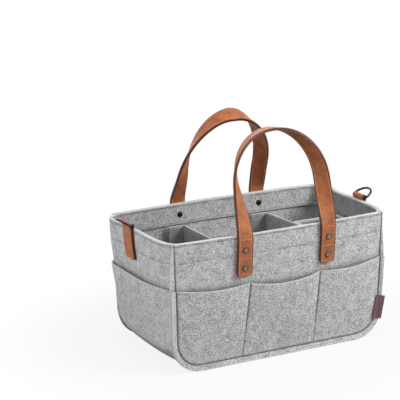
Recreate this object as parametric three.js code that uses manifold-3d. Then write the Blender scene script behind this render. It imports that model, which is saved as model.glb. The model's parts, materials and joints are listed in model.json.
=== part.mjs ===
// A felt nursery caddy: a sewn felt box with outside pockets, two riveted leather handles,
// a D-ring on each end and lift-out felt dividers inside.
// Millimetres. X runs along the length, Y from the front (minus) to the back, Z up from the ground.

import * as THREE from 'three';
import { mergeVertices } from 'three/addons/utils/BufferGeometryUtils.js';
import Module from 'manifold-3d';

const wasm = await Module();
wasm.setup();

// The felt box, measured over its seams
const rimHeight = 198;
const rimWidth = 356;
const baseWidth = 343;
const rimDepth = 200;
const baseDepth = 187;
const cornerRadius = 40;
const sideBulge = 13;
const sideBelly = 3;
const baseSquareness = 2;
const rimSquareness = 6;
const wallBow = 6;

// Felt, seams and the running clearance between two layers
const felt = 3;
const layerGap = 0.3;
const sideAllowance = 7;
const bottomAllowance = 9;
const rimAllowance = 3;
const trimLength = 30;
const hemHeight = 33;
const hemBend = 8;
const hemTurnShare = 0.9;

// Pockets on the outside
const pocketMouth = 123;
const pocketEndRise = 5;
const pocketEndShare = 1 / 3;
const pocketSwellFoot = 18;
const frontSeamsTop = [-55, 65];
const frontSeamsFoot = [-66, 58];
const backSeamsTop = [-62, 62];
const backSeamsFoot = [-62, 62];
const pocketSwell = [7.5, 8.5, 7.5];
const pocketSag = [1.5, 6, 2];
const sidePocketMouth = 128;
const sidePocketSwell = 7.5;
const sidePocketTuck = 14;

// Leather handles
const strapWidth = 25;
const strapThickness = 4;
const legClearance = 8;
const archStraightShare = 0.2;
const twistLength = 185;
const hingeLift = 1;

// Each handle stands in its own curve: its shift along the wall, the curve's half width, how far
// the curve spreads beyond the legs, the height of its straight part and of its bow, how far it
// leans in over the box, how far the strap has turned at the top (both in degrees), how much of
// that turn comes early, and how far its upper rivets lie below the rim
const frontHandle = {
  shift: 5,
  halfWidth: 72.6,
  spread: 1.6,
  shoulder: 70.3,
  rise: 77.8,
  lean: 19,
  topTurn: 102,
  twistPower: 1.35,
  rivetDrop: 21,
};
const backHandle = {
  shift: 6.5,
  halfWidth: 68.5,
  spread: -2.5,
  shoulder: 51.6,
  rise: 95.9,
  lean: 19,
  topTurn: 110,
  twistPower: 1,
  rivetDrop: 17,
};

// Rivets through the handle legs
const rivetCapRadius = 4.5;
const rivetCapHeight = 1.9;
const innerCapHeight = 2.4;
const capEdgeShare = 0.25;
const rivetPostRadius = 1.75;
const lowerRivetRise = 13;

// D-rings and their leather tabs
const tabWidth = 28;
const tabLeather = 2;
const tabOffset = 16.5;
const tabRise = 26;
const tabWrap = 35;
const ringWire = 3.5;
const ringSideGap = 0.8;
const ringDepth = 19.5;
const ringTilt = 30;
const loopGap = 0.6;

// Dividers and the box insert
const leftDivider = { back: -60, front: -62 };
const rightDivider = { back: 88, front: 101 };
const flapLength = 28;
const feltBend = 3;
const insertSpacing = 1;
const insertBackY = 22;
const insertSideGap = 1;
const insertFlap = 24;
const hookLow = 40;
const hookHigh = 100;
const hookInset = 5;

// The bare tag in the right front seam
const tagWidth = 15.5;
const tagHeight = 37;
const tagThickness = 1.2;
const tagLap = 6.5;
const tagLift = 0.18;
const tagCentreHeight = 47.5;
const tagTilt = 9;

// How finely the shapes are stepped
const wallRows = 6;
const sideRows = 8;
const cornerSteps = 6;
const panelColumns = 10;
const pocketColumns = 6;
const webColumns = 12;
const hemRows = 3;
const hemSteps = 7;
const hemBendSteps = 5;
const archSteps = 40;
const rivetSides = 10;
const ringSides = 6;
const ringSteps = 40;
const ringBarSteps = 6;
const ringBendSteps = 4;
const ringBowSteps = 14;
const tabRows = 4;
const tabWrapSteps = 12;

// Values that follow from the sizes above
const cornerCentreZ = bottomAllowance + cornerRadius;
const hemFoot = rimHeight - hemHeight;
const legFoot = pocketMouth + pocketEndRise + legClearance;
const tabFoot = sidePocketMouth + tabRise;
const flapStandoff = felt + innerCapHeight + 3 * layerGap;
const hookThickness = (flapStandoff - 3 * layerGap) / 2;
const dividerTop = hemFoot - layerGap;
const ringBend = ringWire / 2 + ringSideGap;

const caddy = new THREE.Group();

// Widths, depths and swelling of the box

function mix(from, to, share) {
  return from + (to - from) * share;
}

function smooth(share) {
  const t = Math.min(Math.max(share, 0), 1);
  return t * t * (3 - 2 * t);
}

// Steps from one value to another, both ends included.
function steps(from, to, count) {
  return Array.from({ length: count + 1 }, (_, i) => mix(from, to, i / count));
}

function halfWidth(z) {
  return mix(baseWidth, rimWidth, z / rimHeight) / 2;
}

const cornerCentreX = halfWidth(cornerCentreZ) - cornerRadius;

// A height as a share of the wall, from the floor to the rim.
function wallShare(z) {
  return Math.min(Math.max((z - bottomAllowance) / (rimHeight - bottomAllowance), 0), 1);
}

// How much of the rim's swelling is left at a height: none at the base.
function fullness(z) {
  return Math.sin(wallShare(z) * Math.PI / 2);
}

// Outer face of the front and back panels, as a distance from the middle plane.
function faceY(x, z) {
  const across = Math.min(Math.abs(x) / halfWidth(z), 1);
  return mix(baseDepth, rimDepth, z / rimHeight) / 2 + wallBow * fullness(z) * (1 - across * across);
}

// Half the depth of the side wall, which stands between the two panels.
function sideHalfDepth(z) {
  return mix(baseDepth, rimDepth, z / rimHeight) / 2 - felt - layerGap;
}

// How far the side wall swells out at a place: gently round low down, nearly square at the rim,
// with a belly above the middle.
function sideSwell(y, z) {
  const across = Math.min(Math.abs(y) / sideHalfDepth(z), 1);
  const power = mix(baseSquareness, rimSquareness, (z / rimHeight) ** 2);
  const belly = sideBelly * Math.sin(wallShare(z) ** 2 * Math.PI);
  return (sideBulge * fullness(z) + belly) * (1 - across ** power);
}

// Width of the raw seam edge beyond the stitch line on the sides, trimmed narrower at the rim.
function sideAllowanceAt(z) {
  return mix(rimAllowance, sideAllowance, smooth((rimHeight - z) / trimLength));
}

// Top face of the felt floor, which curves up into the side walls.
function floorAt(x) {
  const beyond = Math.max(Math.abs(x) - cornerCentreX, 0);
  const inner = cornerRadius - felt;
  return beyond < inner ? cornerCentreZ - Math.sqrt(inner * inner - beyond * beyond) : cornerCentreZ;
}

// Solids

// A geometry from a list of points and triangles, turned so that its faces point out.
function solidFrom(points, triangles) {
  let volume = 0;
  for (const [a, b, c] of triangles) {
    volume += points[a].dot(points[b].clone().cross(points[c]));
  }
  const order = volume < 0 ? ([a, b, c]) => [a, c, b] : (triangle) => triangle;
  const geometry = new THREE.BufferGeometry();
  geometry.setAttribute('position', new THREE.Float32BufferAttribute(points.flatMap((p) => p.toArray()), 3));
  geometry.setIndex(triangles.flatMap(order));
  return geometry;
}

// A sheet with thickness: a grid of points on each face, [row][column], closed round its edges.
// A ring sheet joins its last column to its first.
function sheet(faceA, faceB, ring = false) {
  const rows = faceA.length;
  const columns = faceA[0].length;
  const points = [...faceA.flat(), ...faceB.flat()];
  const at = (face, row, column) => (face * rows + row) * columns + column % columns;
  const triangles = [];
  const quad = (a, b, c, d) => triangles.push([a, b, c], [a, c, d]);
  const lastColumn = ring ? columns : columns - 1;
  for (let i = 0; i < rows - 1; i += 1) {
    for (let j = 0; j < lastColumn; j += 1) {
      quad(at(0, i, j), at(0, i, j + 1), at(0, i + 1, j + 1), at(0, i + 1, j));
      quad(at(1, i, j), at(1, i + 1, j), at(1, i + 1, j + 1), at(1, i, j + 1));
    }
  }
  for (let j = 0; j < lastColumn; j += 1) {
    quad(at(0, 0, j), at(1, 0, j), at(1, 0, j + 1), at(0, 0, j + 1));
    quad(at(0, rows - 1, j), at(0, rows - 1, j + 1), at(1, rows - 1, j + 1), at(1, rows - 1, j));
  }
  for (let i = 0; !ring && i < rows - 1; i += 1) {
    quad(at(0, i, 0), at(0, i + 1, 0), at(1, i + 1, 0), at(1, i, 0));
    quad(at(0, i, columns - 1), at(1, i, columns - 1), at(1, i + 1, columns - 1), at(0, i + 1, columns - 1));
  }
  return solidFrom(points, triangles);
}

// A closed geometry with its doubled points merged and its faces pointing out.
function turnedOut(geometry) {
  geometry.deleteAttribute('normal');
  geometry.deleteAttribute('uv');
  const merged = mergeVertices(geometry, 1e-4);
  const place = merged.attributes.position;
  const points = Array.from({ length: place.count }, (_, i) => new THREE.Vector3().fromBufferAttribute(place, i));
  const triangles = Array.from({ length: merged.index.count / 3 }, (_, i) => [0, 1, 2]
    .map((k) => merged.index.array[3 * i + k]))
    .filter(([a, b, c]) => a !== b && b !== c && c !== a);
  return solidFrom(points, triangles);
}

// A closed geometry as a solid that can be cut.
function toSolid(geometry) {
  const bare = geometry.clone();
  bare.deleteAttribute('normal');
  bare.deleteAttribute('uv');
  const merged = mergeVertices(bare, 1e-4);
  const vertProperties = new Float32Array(merged.attributes.position.array);
  const triVerts = new Uint32Array(merged.index.array);
  return new wasm.Manifold(new wasm.Mesh({ numProp: 3, vertProperties, triVerts }));
}

// A geometry with each of the cutters taken out of it.
function cut(geometry, cutters) {
  let solid = toSolid(geometry);
  for (const cutter of cutters) {
    solid = solid.subtract(toSolid(cutter));
  }
  const mesh = solid.getMesh();
  const result = new THREE.BufferGeometry();
  result.setAttribute('position', new THREE.Float32BufferAttribute(mesh.vertProperties, 3));
  result.setIndex(Array.from(mesh.triVerts));
  return result;
}

// Materials

const feltGrey = new THREE.MeshStandardMaterial({ color: 0xb4b4b2, roughness: 1, metalness: 0 });
const leather = new THREE.MeshStandardMaterial({ color: 0xa9592c, roughness: 0.5, metalness: 0 });
const blackMetal = new THREE.MeshStandardMaterial({ color: 0x1b1b1d, roughness: 0.3, metalness: 0.9 });
const nickel = new THREE.MeshStandardMaterial({ color: 0xa8a49c, roughness: 0.3, metalness: 1 });
const hookTape = new THREE.MeshStandardMaterial({ color: 0x9a9a98, roughness: 1, metalness: 0 });
const tagBrown = new THREE.MeshStandardMaterial({ color: 0x6b4c4e, roughness: 0.8, metalness: 0 });

function addPart(name, geometry, material, parent = caddy) {
  const mesh = new THREE.Mesh(geometry, material.clone());
  mesh.name = name;
  parent.add(mesh);
  return mesh;
}

// Front and back: a panel is a layer of the wall, placed by its distance out from the panel's outer face

// side is -1 for the front and 1 for the back.
function wallPoint(side, x, z, out) {
  return new THREE.Vector3(x, side * (faceY(x, z) + out), z);
}

// Rows of the U-shaped wall outline, from the ground up: the height, the half width to the
// raw edge and the half width to the stitch line.
function outlineRows(topZ) {
  const rows = [];
  for (const angle of steps(Math.PI / 2, 0, cornerSteps)) {
    const spread = mix(sideAllowance, bottomAllowance, Math.sin(angle) ** 2);
    const radius = cornerRadius + spread;
    const z = Math.max(cornerCentreZ - radius * Math.sin(angle), 0);
    const drop = cornerCentreZ - z;
    const below = Math.max(1 - z / bottomAllowance, 0);
    const seam = drop < cornerRadius
      ? cornerCentreX + Math.sqrt(cornerRadius * cornerRadius - drop * drop)
      : cornerCentreX - bottomAllowance * below;
    rows.push({ z, edge: cornerCentreX + radius * Math.cos(angle), seam });
  }
  for (const z of steps(cornerCentreZ, topZ, wallRows).slice(1)) {
    rows.push({ z, edge: halfWidth(z) + sideAllowanceAt(z), seam: halfWidth(z) });
  }
  return rows;
}

// The flat panel with rounded bottom corners.
function panelGeometry(side) {
  const face = (out) => outlineRows(rimHeight).map((row) => {
    const inside = steps(-row.seam, row.seam, panelColumns).map((x) => wallPoint(side, x, row.z, out));
    return [wallPoint(side, -row.edge, row.z, out), ...inside, wallPoint(side, row.edge, row.z, out)];
  });
  return sheet(face(0), face(-felt));
}

// The pocket layer: three pockets between the side seams and two sewn lines, each swelling out.
function pocketGeometry(side, seamsTop, seamsFoot) {
  const seamAt = (k, z) => mix(seamsFoot[k], seamsTop[k], z / pocketMouth);
  const columns = [];
  for (let pocket = 0; pocket < 3; pocket += 1) {
    for (const local of steps(-1, 1, pocketColumns).slice(pocket === 0 ? 0 : 1)) {
      columns.push({ pocket, local });
    }
  }
  // The mouth sags within each pocket and rises to both ends.
  const endShare = (x) => Math.max(1 - (1 - Math.abs(x) / halfWidth(pocketMouth)) / pocketEndShare, 0);
  const mouthAt = (x, pocket, local) => pocketMouth + pocketEndRise * endShare(x)
    - pocketSag[pocket] * (1 - local * local);
  const columnX = (row, z, pocket, local) => {
    const left = pocket === 0 ? -row.seam : seamAt(pocket - 1, z);
    const right = pocket === 2 ? row.seam : seamAt(pocket, z);
    return mix(left, right, (local + 1) / 2);
  };
  const rows = outlineRows(pocketMouth);
  const point = (row, pocket, local, out) => {
    const above = Math.max((row.z - cornerCentreZ) / (pocketMouth - cornerCentreZ), 0);
    const mouth = mouthAt(columnX(row, row.z, pocket, local), pocket, local);
    const z = row.z + above * (mouth - pocketMouth);
    const lifted = Math.max((z - pocketSwellFoot) / (mouth - pocketSwellFoot), 0);
    const swell = pocketSwell[pocket] * (1 - local * local) * Math.sin(lifted * Math.PI / 2);
    return wallPoint(side, columnX(row, row.z, pocket, local), z, out + swell);
  };
  const edgePoint = (row, sign, out) => {
    const above = Math.max((row.z - cornerCentreZ) / (pocketMouth - cornerCentreZ), 0);
    return wallPoint(side, sign * row.edge, row.z + above * pocketEndRise, out);
  };
  const face = (out) => rows.map((row) => [
    edgePoint(row, -1, out),
    ...columns.map(({ pocket, local }) => point(row, pocket, local, out)),
    edgePoint(row, 1, out),
  ]);
  return sheet(face(layerGap), face(layerGap + felt));
}

// Side walls and base: one strip bent in a U, its edges turned out into the seams

function wallStation(z) {
  return { x: halfWidth(z), z, normalX: 1, normalZ: 0, allowance: sideAllowanceAt(z) };
}

function cornerStation(angle) {
  return {
    x: cornerCentreX + cornerRadius * Math.cos(angle),
    z: cornerCentreZ - cornerRadius * Math.sin(angle),
    normalX: Math.cos(angle),
    normalZ: -Math.sin(angle),
    allowance: mix(sideAllowance, bottomAllowance, Math.sin(angle) ** 2),
  };
}

function baseStation(x) {
  return { x, z: bottomAllowance, normalX: 0, normalZ: -1, allowance: bottomAllowance };
}

// Stations down the right wall, round the corner and in along the base.
function sideStations(topZ, endX, baseCount) {
  return [
    ...steps(topZ, cornerCentreZ, sideRows).map(wallStation),
    ...steps(0, Math.PI / 2, cornerSteps).slice(1).map(cornerStation),
    ...steps(cornerCentreX, endX, baseCount).slice(1).map(baseStation),
  ];
}

function mirrored(station) {
  return { ...station, x: -station.x, normalX: -station.normalX };
}

// Places across the web as shares of its half depth, closer together towards the folds.
const webShares = steps(-Math.PI / 2, Math.PI / 2, webColumns).map(Math.sin);

// A strip along the stations. inner and outer are the web's faces, measured out from the seam
// path; depth is how far the strip's edges lie in from the panels; extra adds swelling.
function stripGeometry(stations, inner, depth, extra) {
  const outer = inner + felt;
  const line = (station, onOuter) => {
    const half = sideHalfDepth(station.z) - depth - (onOuter ? felt : 0);
    const place = (out, y) => new THREE.Vector3(
      station.x + station.normalX * out,
      y,
      station.z + station.normalZ * out,
    );
    const web = webShares.map((share) => {
      const y = share * half;
      const level = onOuter ? outer : inner;
      return place(level + sideSwell(y, station.z) + extra(share, station.z), y);
    });
    return [place(station.allowance, -half), ...web, place(station.allowance, half)];
  };
  return sheet(stations.map((s) => line(s, false)), stations.map((s) => line(s, true)));
}

function bodyStrip() {
  const right = sideStations(rimHeight, 0, 3);
  const left = right.slice(0, -1).map(mirrored).reverse();
  return stripGeometry([...right, ...left], -felt, 0, () => 0);
}

function sidePocket(mirror) {
  const stations = sideStations(sidePocketMouth, cornerCentreX - sidePocketTuck, 2);
  const swell = (share, z) => sidePocketSwell * (1 - share * share)
    * Math.sin(Math.max(z - cornerCentreZ, 0) / (sidePocketMouth - cornerCentreZ) * Math.PI / 2);
  return stripGeometry(mirror ? stations.map(mirrored) : stations, layerGap, felt + layerGap, swell);
}

// The facing: a band sewn inside the rim, going all the way round

function hemLoop(z, inset) {
  const frontX = halfWidth(z) - hemBend;
  const sideShares = webShares.filter((share) => share > -hemTurnShare && share < Number.EPSILON);
  const sideY = (share) => share * sideHalfDepth(z);
  const frontAt = (x) => new THREE.Vector3(x, -(faceY(x, z) - inset), z);
  const sideAt = (y) => new THREE.Vector3(halfWidth(z) + sideSwell(y, z) - inset, y, z);
  const corner = new THREE.Vector3(halfWidth(z) - inset, -(faceY(halfWidth(z), z) - inset), z);
  const bend = new THREE.QuadraticBezierCurve3(frontAt(frontX), corner, sideAt(sideY(sideShares[0])));
  const quarter = [
    ...steps(0, frontX, hemSteps).slice(0, -1).map(frontAt),
    ...bend.getPoints(hemBendSteps),
    ...sideShares.slice(1).map((share) => sideAt(sideY(share))),
  ];
  const flip = (signX, signY) => (p) => new THREE.Vector3(signX * p.x, signY * p.y, p.z);
  return [
    ...quarter.slice(0, -1),
    ...quarter.map(flip(1, -1)).reverse().slice(0, -1),
    ...quarter.map(flip(-1, -1)).slice(0, -1),
    ...quarter.map(flip(-1, 1)).reverse().slice(0, -1),
  ];
}

function facingGeometry() {
  const levels = steps(hemFoot, rimHeight, hemRows);
  const outer = levels.map((z) => hemLoop(z, felt + layerGap));
  const inner = levels.map((z) => hemLoop(z, 2 * felt + layerGap));
  return sheet(outer, inner, true);
}

// Handles

// Half the distance between a handle's legs.
function legHalfSpacing(handle) {
  return handle.halfWidth - handle.spread;
}

// The strap's middle line above the rim: up from the left leg, over, and down the right.
class ArchCurve extends THREE.Curve {
  constructor(handle) {
    super();
    this.handle = handle;
    this.arcLengthDivisions = 800;
  }

  getPoint(t, target = new THREE.Vector3()) {
    const { halfWidth: bowHalfWidth, shoulder, rise } = this.handle;
    const mirror = t > 0.5 ? 1 : -1;
    const half = Math.min(t, 1 - t) * 2;
    if (half < archStraightShare) {
      const up = half / archStraightShare;
      const x = mix(legHalfSpacing(this.handle), bowHalfWidth, smooth(up));
      return target.set(mirror * x, 0, shoulder * up);
    }
    const angle = (half - archStraightShare) / (1 - archStraightShare) * Math.PI / 2;
    return target.set(mirror * bowHalfWidth * Math.cos(angle), 0, shoulder + rise * Math.sin(angle));
  }
}

// How far the strap has turned at a distance from its end: it twists on its way up each leg, so
// that it lies across the hand at the top.
function strapTurn(handle, fromEnd) {
  const left = Math.max(1 - fromEnd / twistLength, 0);
  return (1 - left ** handle.twistPower) * THREE.MathUtils.degToRad(handle.topTurn);
}

function archGeometry(handle) {
  const curve = new ArchCurve(handle);
  const length = curve.getLength();
  const radius = strapThickness / 2;
  // Each end is rounded about the fold line.
  const drops = steps(-75, -25, 2).map((angle) => radius * Math.sin(THREE.MathUtils.degToRad(angle)));
  const stations = [
    ...drops.map((drop) => ({ u: 0, drop })),
    ...steps(0, 1, archSteps).map((u) => ({ u, drop: 0 })),
    ...drops.map((drop) => ({ u: 1, drop })).reverse(),
  ];
  const row = ({ u, drop }, face) => {
    const centre = curve.getPointAt(u);
    const along = curve.getTangentAt(u);
    const turn = strapTurn(handle, Math.min(u, 1 - u) * length);
    const towardsMiddle = new THREE.Vector3(along.z, 0, -along.x);
    const facing = new THREE.Vector3(0, -Math.cos(turn), 0).addScaledVector(towardsMiddle, Math.sin(turn));
    const across = along.clone().cross(facing);
    const half = Math.sqrt(radius * radius - drop * drop);
    centre.z += drop;
    return steps(-0.5, 0.5, 2).map((share) => centre.clone()
      .addScaledVector(across, share * strapWidth)
      .addScaledVector(facing, face * half));
  };
  return sheet(stations.map((s) => row(s, 1)), stations.map((s) => row(s, -1)));
}

// A leg lies flat on the outside of its wall and ends just under the hinge line.
function legGeometry(side, centreX) {
  const top = rimHeight + hingeLift - strapThickness / 2 - layerGap;
  const face = (out) => steps(legFoot, top, wallRows).map((z) => steps(-0.5, 0.5, 4)
    .map((share) => wallPoint(side, centreX + share * strapWidth, z, out)));
  return sheet(face(layerGap), face(layerGap + strapThickness));
}

// Rivets

// Outward direction of the front or back wall at a place.
function wallNormal(side, x, z) {
  const step = 0.5;
  const slopeX = (faceY(x + step, z) - faceY(x - step, z)) / (2 * step);
  const slopeZ = (faceY(x, z + step) - faceY(x, z - step)) / (2 * step);
  return new THREE.Vector3(-slopeX, side, -slopeZ).normalize();
}

// Layers inside the panel at a height: the facing counts near the rim.
function innerStack(z) {
  return z + rivetCapRadius > hemFoot ? 2 * felt + layerGap : felt;
}

// A turned shape along the wall's outward direction, its zero on the panel's outer face.
function turnedOnWall(profile, side, x, z) {
  const geometry = new THREE.LatheGeometry(profile, rivetSides);
  const turn = new THREE.Quaternion().setFromUnitVectors(new THREE.Vector3(0, 1, 0), wallNormal(side, x, z));
  geometry.applyQuaternion(turn);
  const place = wallPoint(side, x, z, 0);
  geometry.translate(place.x, place.y, place.z);
  return turnedOut(geometry);
}

// Points of a domed cap's profile, from its rim up to the middle.
function domeProfile(radius, base, height) {
  return steps(0, Math.PI / 2, 3).map((angle) => new THREE.Vector2(
    Math.max(radius * Math.cos(angle), 0),
    base + height * mix(capEdgeShare, 1, Math.sin(angle)),
  ));
}

function outerRivet(side, x, z) {
  const seat = 2 * layerGap + strapThickness;
  const foot = -innerStack(z) - layerGap / 2;
  const dome = domeProfile(rivetCapRadius, seat, rivetCapHeight);
  dome[dome.length - 1].x = 0;
  return turnedOnWall([
    new THREE.Vector2(0, foot),
    new THREE.Vector2(rivetPostRadius, foot),
    new THREE.Vector2(rivetPostRadius, seat),
    new THREE.Vector2(rivetCapRadius, seat),
    ...dome,
  ], side, x, z);
}

function innerRivet(side, x, z) {
  const seat = -innerStack(z) - layerGap;
  const dome = domeProfile(rivetCapRadius, 0, innerCapHeight).map((p) => new THREE.Vector2(p.x, seat - p.y));
  dome[dome.length - 1].x = 0;
  return turnedOnWall([
    ...dome.reverse(),
    new THREE.Vector2(rivetCapRadius, seat),
    new THREE.Vector2(0, seat),
  ], side, x, z);
}

// The hole that a rivet's post passes through.
function rivetHole(side, x, z) {
  const reach = 3 * felt + strapThickness;
  const radius = rivetPostRadius + layerGap;
  return turnedOnWall([
    new THREE.Vector2(0, -reach),
    new THREE.Vector2(radius, -reach),
    new THREE.Vector2(radius, reach),
    new THREE.Vector2(0, reach),
  ], side, x, z);
}

const handles = [
  { name: 'front', side: -1, ...frontHandle },
  { name: 'back', side: 1, ...backHandle },
];

function legsOf(handle) {
  const reach = legHalfSpacing(handle);
  return [
    { name: 'left', x: handle.shift - reach },
    { name: 'right', x: handle.shift + reach },
  ];
}

function rivetsOf(handle) {
  const levels = [
    { name: 'upper', z: rimHeight - handle.rivetDrop },
    { name: 'lower', z: legFoot + lowerRivetRise },
  ];
  return legsOf(handle).flatMap((leg) => levels.map((level) => ({
    name: `${handle.name}_rivet_${leg.name}_${level.name}`,
    x: leg.x,
    z: level.z,
  })));
}

for (const handle of handles) {
  const holes = rivetsOf(handle).map((rivet) => rivetHole(handle.side, rivet.x, rivet.z));
  const seams = handle.side < 0 ? [frontSeamsTop, frontSeamsFoot] : [backSeamsTop, backSeamsFoot];
  addPart(`${handle.name}_panel`, cut(panelGeometry(handle.side), holes), feltGrey);
  addPart(`${handle.name}_pocket_panel`, pocketGeometry(handle.side, ...seams), feltGrey);

  // The arch is a body of its own, hinged on the rim and leaning in over the box.
  const nearest = legHalfSpacing(handle) - Math.abs(handle.shift) - strapWidth / 2;
  const hingeY = faceY(nearest, rimHeight) + layerGap + strapThickness / 2;
  const hinge = new THREE.Group();
  hinge.position.set(handle.shift, handle.side * hingeY, rimHeight + hingeLift);
  hinge.rotation.x = handle.side * THREE.MathUtils.degToRad(handle.lean);
  caddy.add(hinge);
  addPart(`${handle.name}_handle_arch`, archGeometry(handle), leather, hinge);

  for (const leg of legsOf(handle)) {
    addPart(`${handle.name}_handle_leg_${leg.name}`, cut(legGeometry(handle.side, leg.x), holes), leather);
  }
  for (const rivet of rivetsOf(handle)) {
    addPart(rivet.name, outerRivet(handle.side, rivet.x, rivet.z), nickel);
    addPart(`${rivet.name}_inner_cap`, innerRivet(handle.side, rivet.x, rivet.z), blackMetal);
  }
}

addPart('side_and_base_strip', bodyStrip(), feltGrey);
addPart('left_pocket_panel', sidePocket(true), feltGrey);
addPart('right_pocket_panel', sidePocket(false), feltGrey);

const facingHoles = handles.flatMap((handle) => rivetsOf(handle)
  .filter((rivet) => innerStack(rivet.z) > felt)
  .map((rivet) => rivetHole(handle.side, rivet.x, rivet.z)));
addPart('rim_facing', cut(facingGeometry(), facingHoles), feltGrey);

// D-rings on leather tabs, one on each end, set diagonally

const loopRadius = ringWire / 2 + loopGap;
const loopMiddle = layerGap * 1.5 + tabLeather;
const barHeight = rimHeight + loopRadius + tabLeather + layerGap;

// Middle line of the tab's leather, as distance out from the side wall and height: up the
// back layer, round the bar and down the front layer.
function tabProfile() {
  const bend = loopRadius + tabLeather / 2;
  const back = layerGap + tabLeather / 2;
  const front = back + tabLeather + layerGap;
  const neck = rimHeight + layerGap;
  const wrap = THREE.MathUtils.degToRad(tabWrap);
  const round = steps(Math.PI + wrap, -wrap, tabWrapSteps)
    .map((angle) => [loopMiddle + bend * Math.cos(angle), barHeight + bend * Math.sin(angle)]);
  const rise = steps(tabFoot, neck, tabRows);
  const fall = [...rise].reverse();
  return [...rise.map((z) => [back, z]), ...round, ...fall.map((z) => [front, z])];
}

// The points of a path in a plane moved sideways by a distance.
function offsetPath(path, distance) {
  return path.map((point, i) => {
    const before = path[Math.max(i - 1, 0)];
    const after = path[Math.min(i + 1, path.length - 1)];
    const normalOf = (a, b) => {
      const length = Math.hypot(b[0] - a[0], b[1] - a[1]);
      return [(b[1] - a[1]) / length, (a[0] - b[0]) / length];
    };
    const first = i === 0 ? normalOf(point, after) : normalOf(before, point);
    const second = i === path.length - 1 ? first : normalOf(point, after);
    const scale = distance / (1 + first[0] * second[0] + first[1] * second[1]);
    return [point[0] + (first[0] + second[0]) * scale, point[1] + (first[1] + second[1]) * scale];
  });
}

function tabGeometry(end) {
  const place = (out, z, y) => new THREE.Vector3(
    end * (halfWidth(z) + sideSwell(y, Math.min(z, rimHeight)) + out),
    y,
    z,
  );
  const centreY = -end * tabOffset;
  const face = (distance) => offsetPath(tabProfile(), distance)
    .map(([out, z]) => steps(centreY - tabWidth / 2, centreY + tabWidth / 2, 4).map((y) => place(out, z, y)));
  return sheet(face(-tabLeather / 2), face(tabLeather / 2));
}

// The ring's middle line: a straight bar, rounded corners and a half circle.
function ringCurve() {
  const half = (tabWidth + ringWire) / 2 + ringSideGap;
  const straight = ringDepth - half;
  const points = [];
  for (const y of steps(-half + ringBend, half - ringBend, ringBarSteps)) {
    points.push([0, y]);
  }
  for (const angle of steps(-Math.PI / 2, 0, ringBendSteps).slice(1)) {
    points.push([ringBend + ringBend * Math.sin(angle), half - ringBend + ringBend * Math.cos(angle)]);
  }
  for (const angle of steps(0, Math.PI, ringBowSteps)) {
    points.push([straight + half * Math.sin(angle), half * Math.cos(angle)]);
  }
  for (const angle of steps(0, -Math.PI / 2, ringBendSteps).slice(0, -1)) {
    points.push([ringBend + ringBend * Math.sin(angle), -half + ringBend - ringBend * Math.cos(angle)]);
  }
  return new THREE.CatmullRomCurve3(points.map(([x, y]) => new THREE.Vector3(x, y, 0)), true);
}

function ringGeometry() {
  return turnedOut(new THREE.TubeGeometry(ringCurve(), ringSteps, ringWire / 2, ringSides, true));
}

for (const [name, end] of [['left', -1], ['right', 1]]) {
  addPart(`${name}_ring_tab`, tabGeometry(end), leather);

  // The bar runs along the wall's own direction at the tab.
  const slope = (sideSwell(tabOffset + 1, rimHeight) - sideSwell(tabOffset - 1, rimHeight)) / 2;
  const seat = new THREE.Group();
  const wallX = halfWidth(barHeight) + sideSwell(tabOffset, rimHeight) + loopMiddle;
  seat.position.set(end * wallX, -end * tabOffset, barHeight);
  seat.rotation.z = (end > 0 ? 0 : Math.PI) + Math.atan(slope);
  caddy.add(seat);
  const tilt = new THREE.Group();
  tilt.rotation.y = -THREE.MathUtils.degToRad(ringTilt);
  seat.add(tilt);
  addPart(`${name}_d_ring`, ringGeometry(), blackMetal, tilt);
}

// Dividers: upright felt sheets with end flaps that lie along the front and back walls

// Middle of a flap's felt, as a distance from the middle plane.
function flapY(x, z) {
  return faceY(x, z) - felt - flapStandoff - felt / 2;
}

// A path in plan with each inner point replaced by a short bend.
function bentPath(points) {
  const bent = [points[0]];
  for (let i = 1; i < points.length - 1; i += 1) {
    const [before, corner, after] = [points[i - 1], points[i], points[i + 1]];
    const towards = (to) => {
      const length = Math.hypot(to[0] - corner[0], to[1] - corner[1]);
      return [0, 1].map((k) => corner[k] + (to[k] - corner[k]) / length * feltBend);
    };
    const [start, end] = [towards(before), towards(after)];
    bent.push(start);
    bent.push([0, 1].map((k) => (start[k] + 2 * corner[k] + end[k]) / 4));
    bent.push(end);
  }
  bent.push(points[points.length - 1]);
  return bent;
}

// An upright sheet whose plan may change with height and whose foot follows the floor.
function uprightGeometry(planAt, topZ) {
  const topPath = bentPath(planAt(topZ));
  const footAt = topPath.map(([x]) => floorAt(Math.abs(x) + felt) + layerGap);
  const face = (distance) => steps(0, 1, wallRows).map((share) => topPath.map((_, i) => {
    const z = mix(footAt[i], topZ, share);
    const [x, y] = offsetPath(bentPath(planAt(z)), distance)[i];
    return new THREE.Vector3(x, y, z);
  }));
  return sheet(face(-felt / 2), face(felt / 2));
}

function dividerPlan(divider) {
  return (z) => [
    [divider.back - flapLength, flapY(divider.back - flapLength, z)],
    [divider.back, flapY(divider.back, z)],
    [divider.front, -flapY(divider.front, z)],
    [divider.front - flapLength, -flapY(divider.front - flapLength, z)],
  ];
}

// A layer of hook tape on the front or back wall, out from the panel's inner face.
function tapeGeometry(side, fromX, toX, depth) {
  const face = (out) => steps(hookLow, hookHigh, 2)
    .map((z) => steps(fromX, toX, 2).map((x) => wallPoint(side, x, z, -felt - depth - out)));
  return sheet(face(0), face(hookThickness));
}

// Both halves of the tape behind one flap: one on the wall and one on the flap.
function addTape(name, side, flapFrom, flapTo) {
  const from = Math.min(flapFrom, flapTo) + hookInset;
  const to = Math.max(flapFrom, flapTo) - hookInset;
  addPart(`${name}_wall_tape`, tapeGeometry(side, from, to, layerGap), hookTape);
  addPart(`${name}_flap_tape`, tapeGeometry(side, from, to, 2 * layerGap + hookThickness), hookTape);
}

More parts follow.
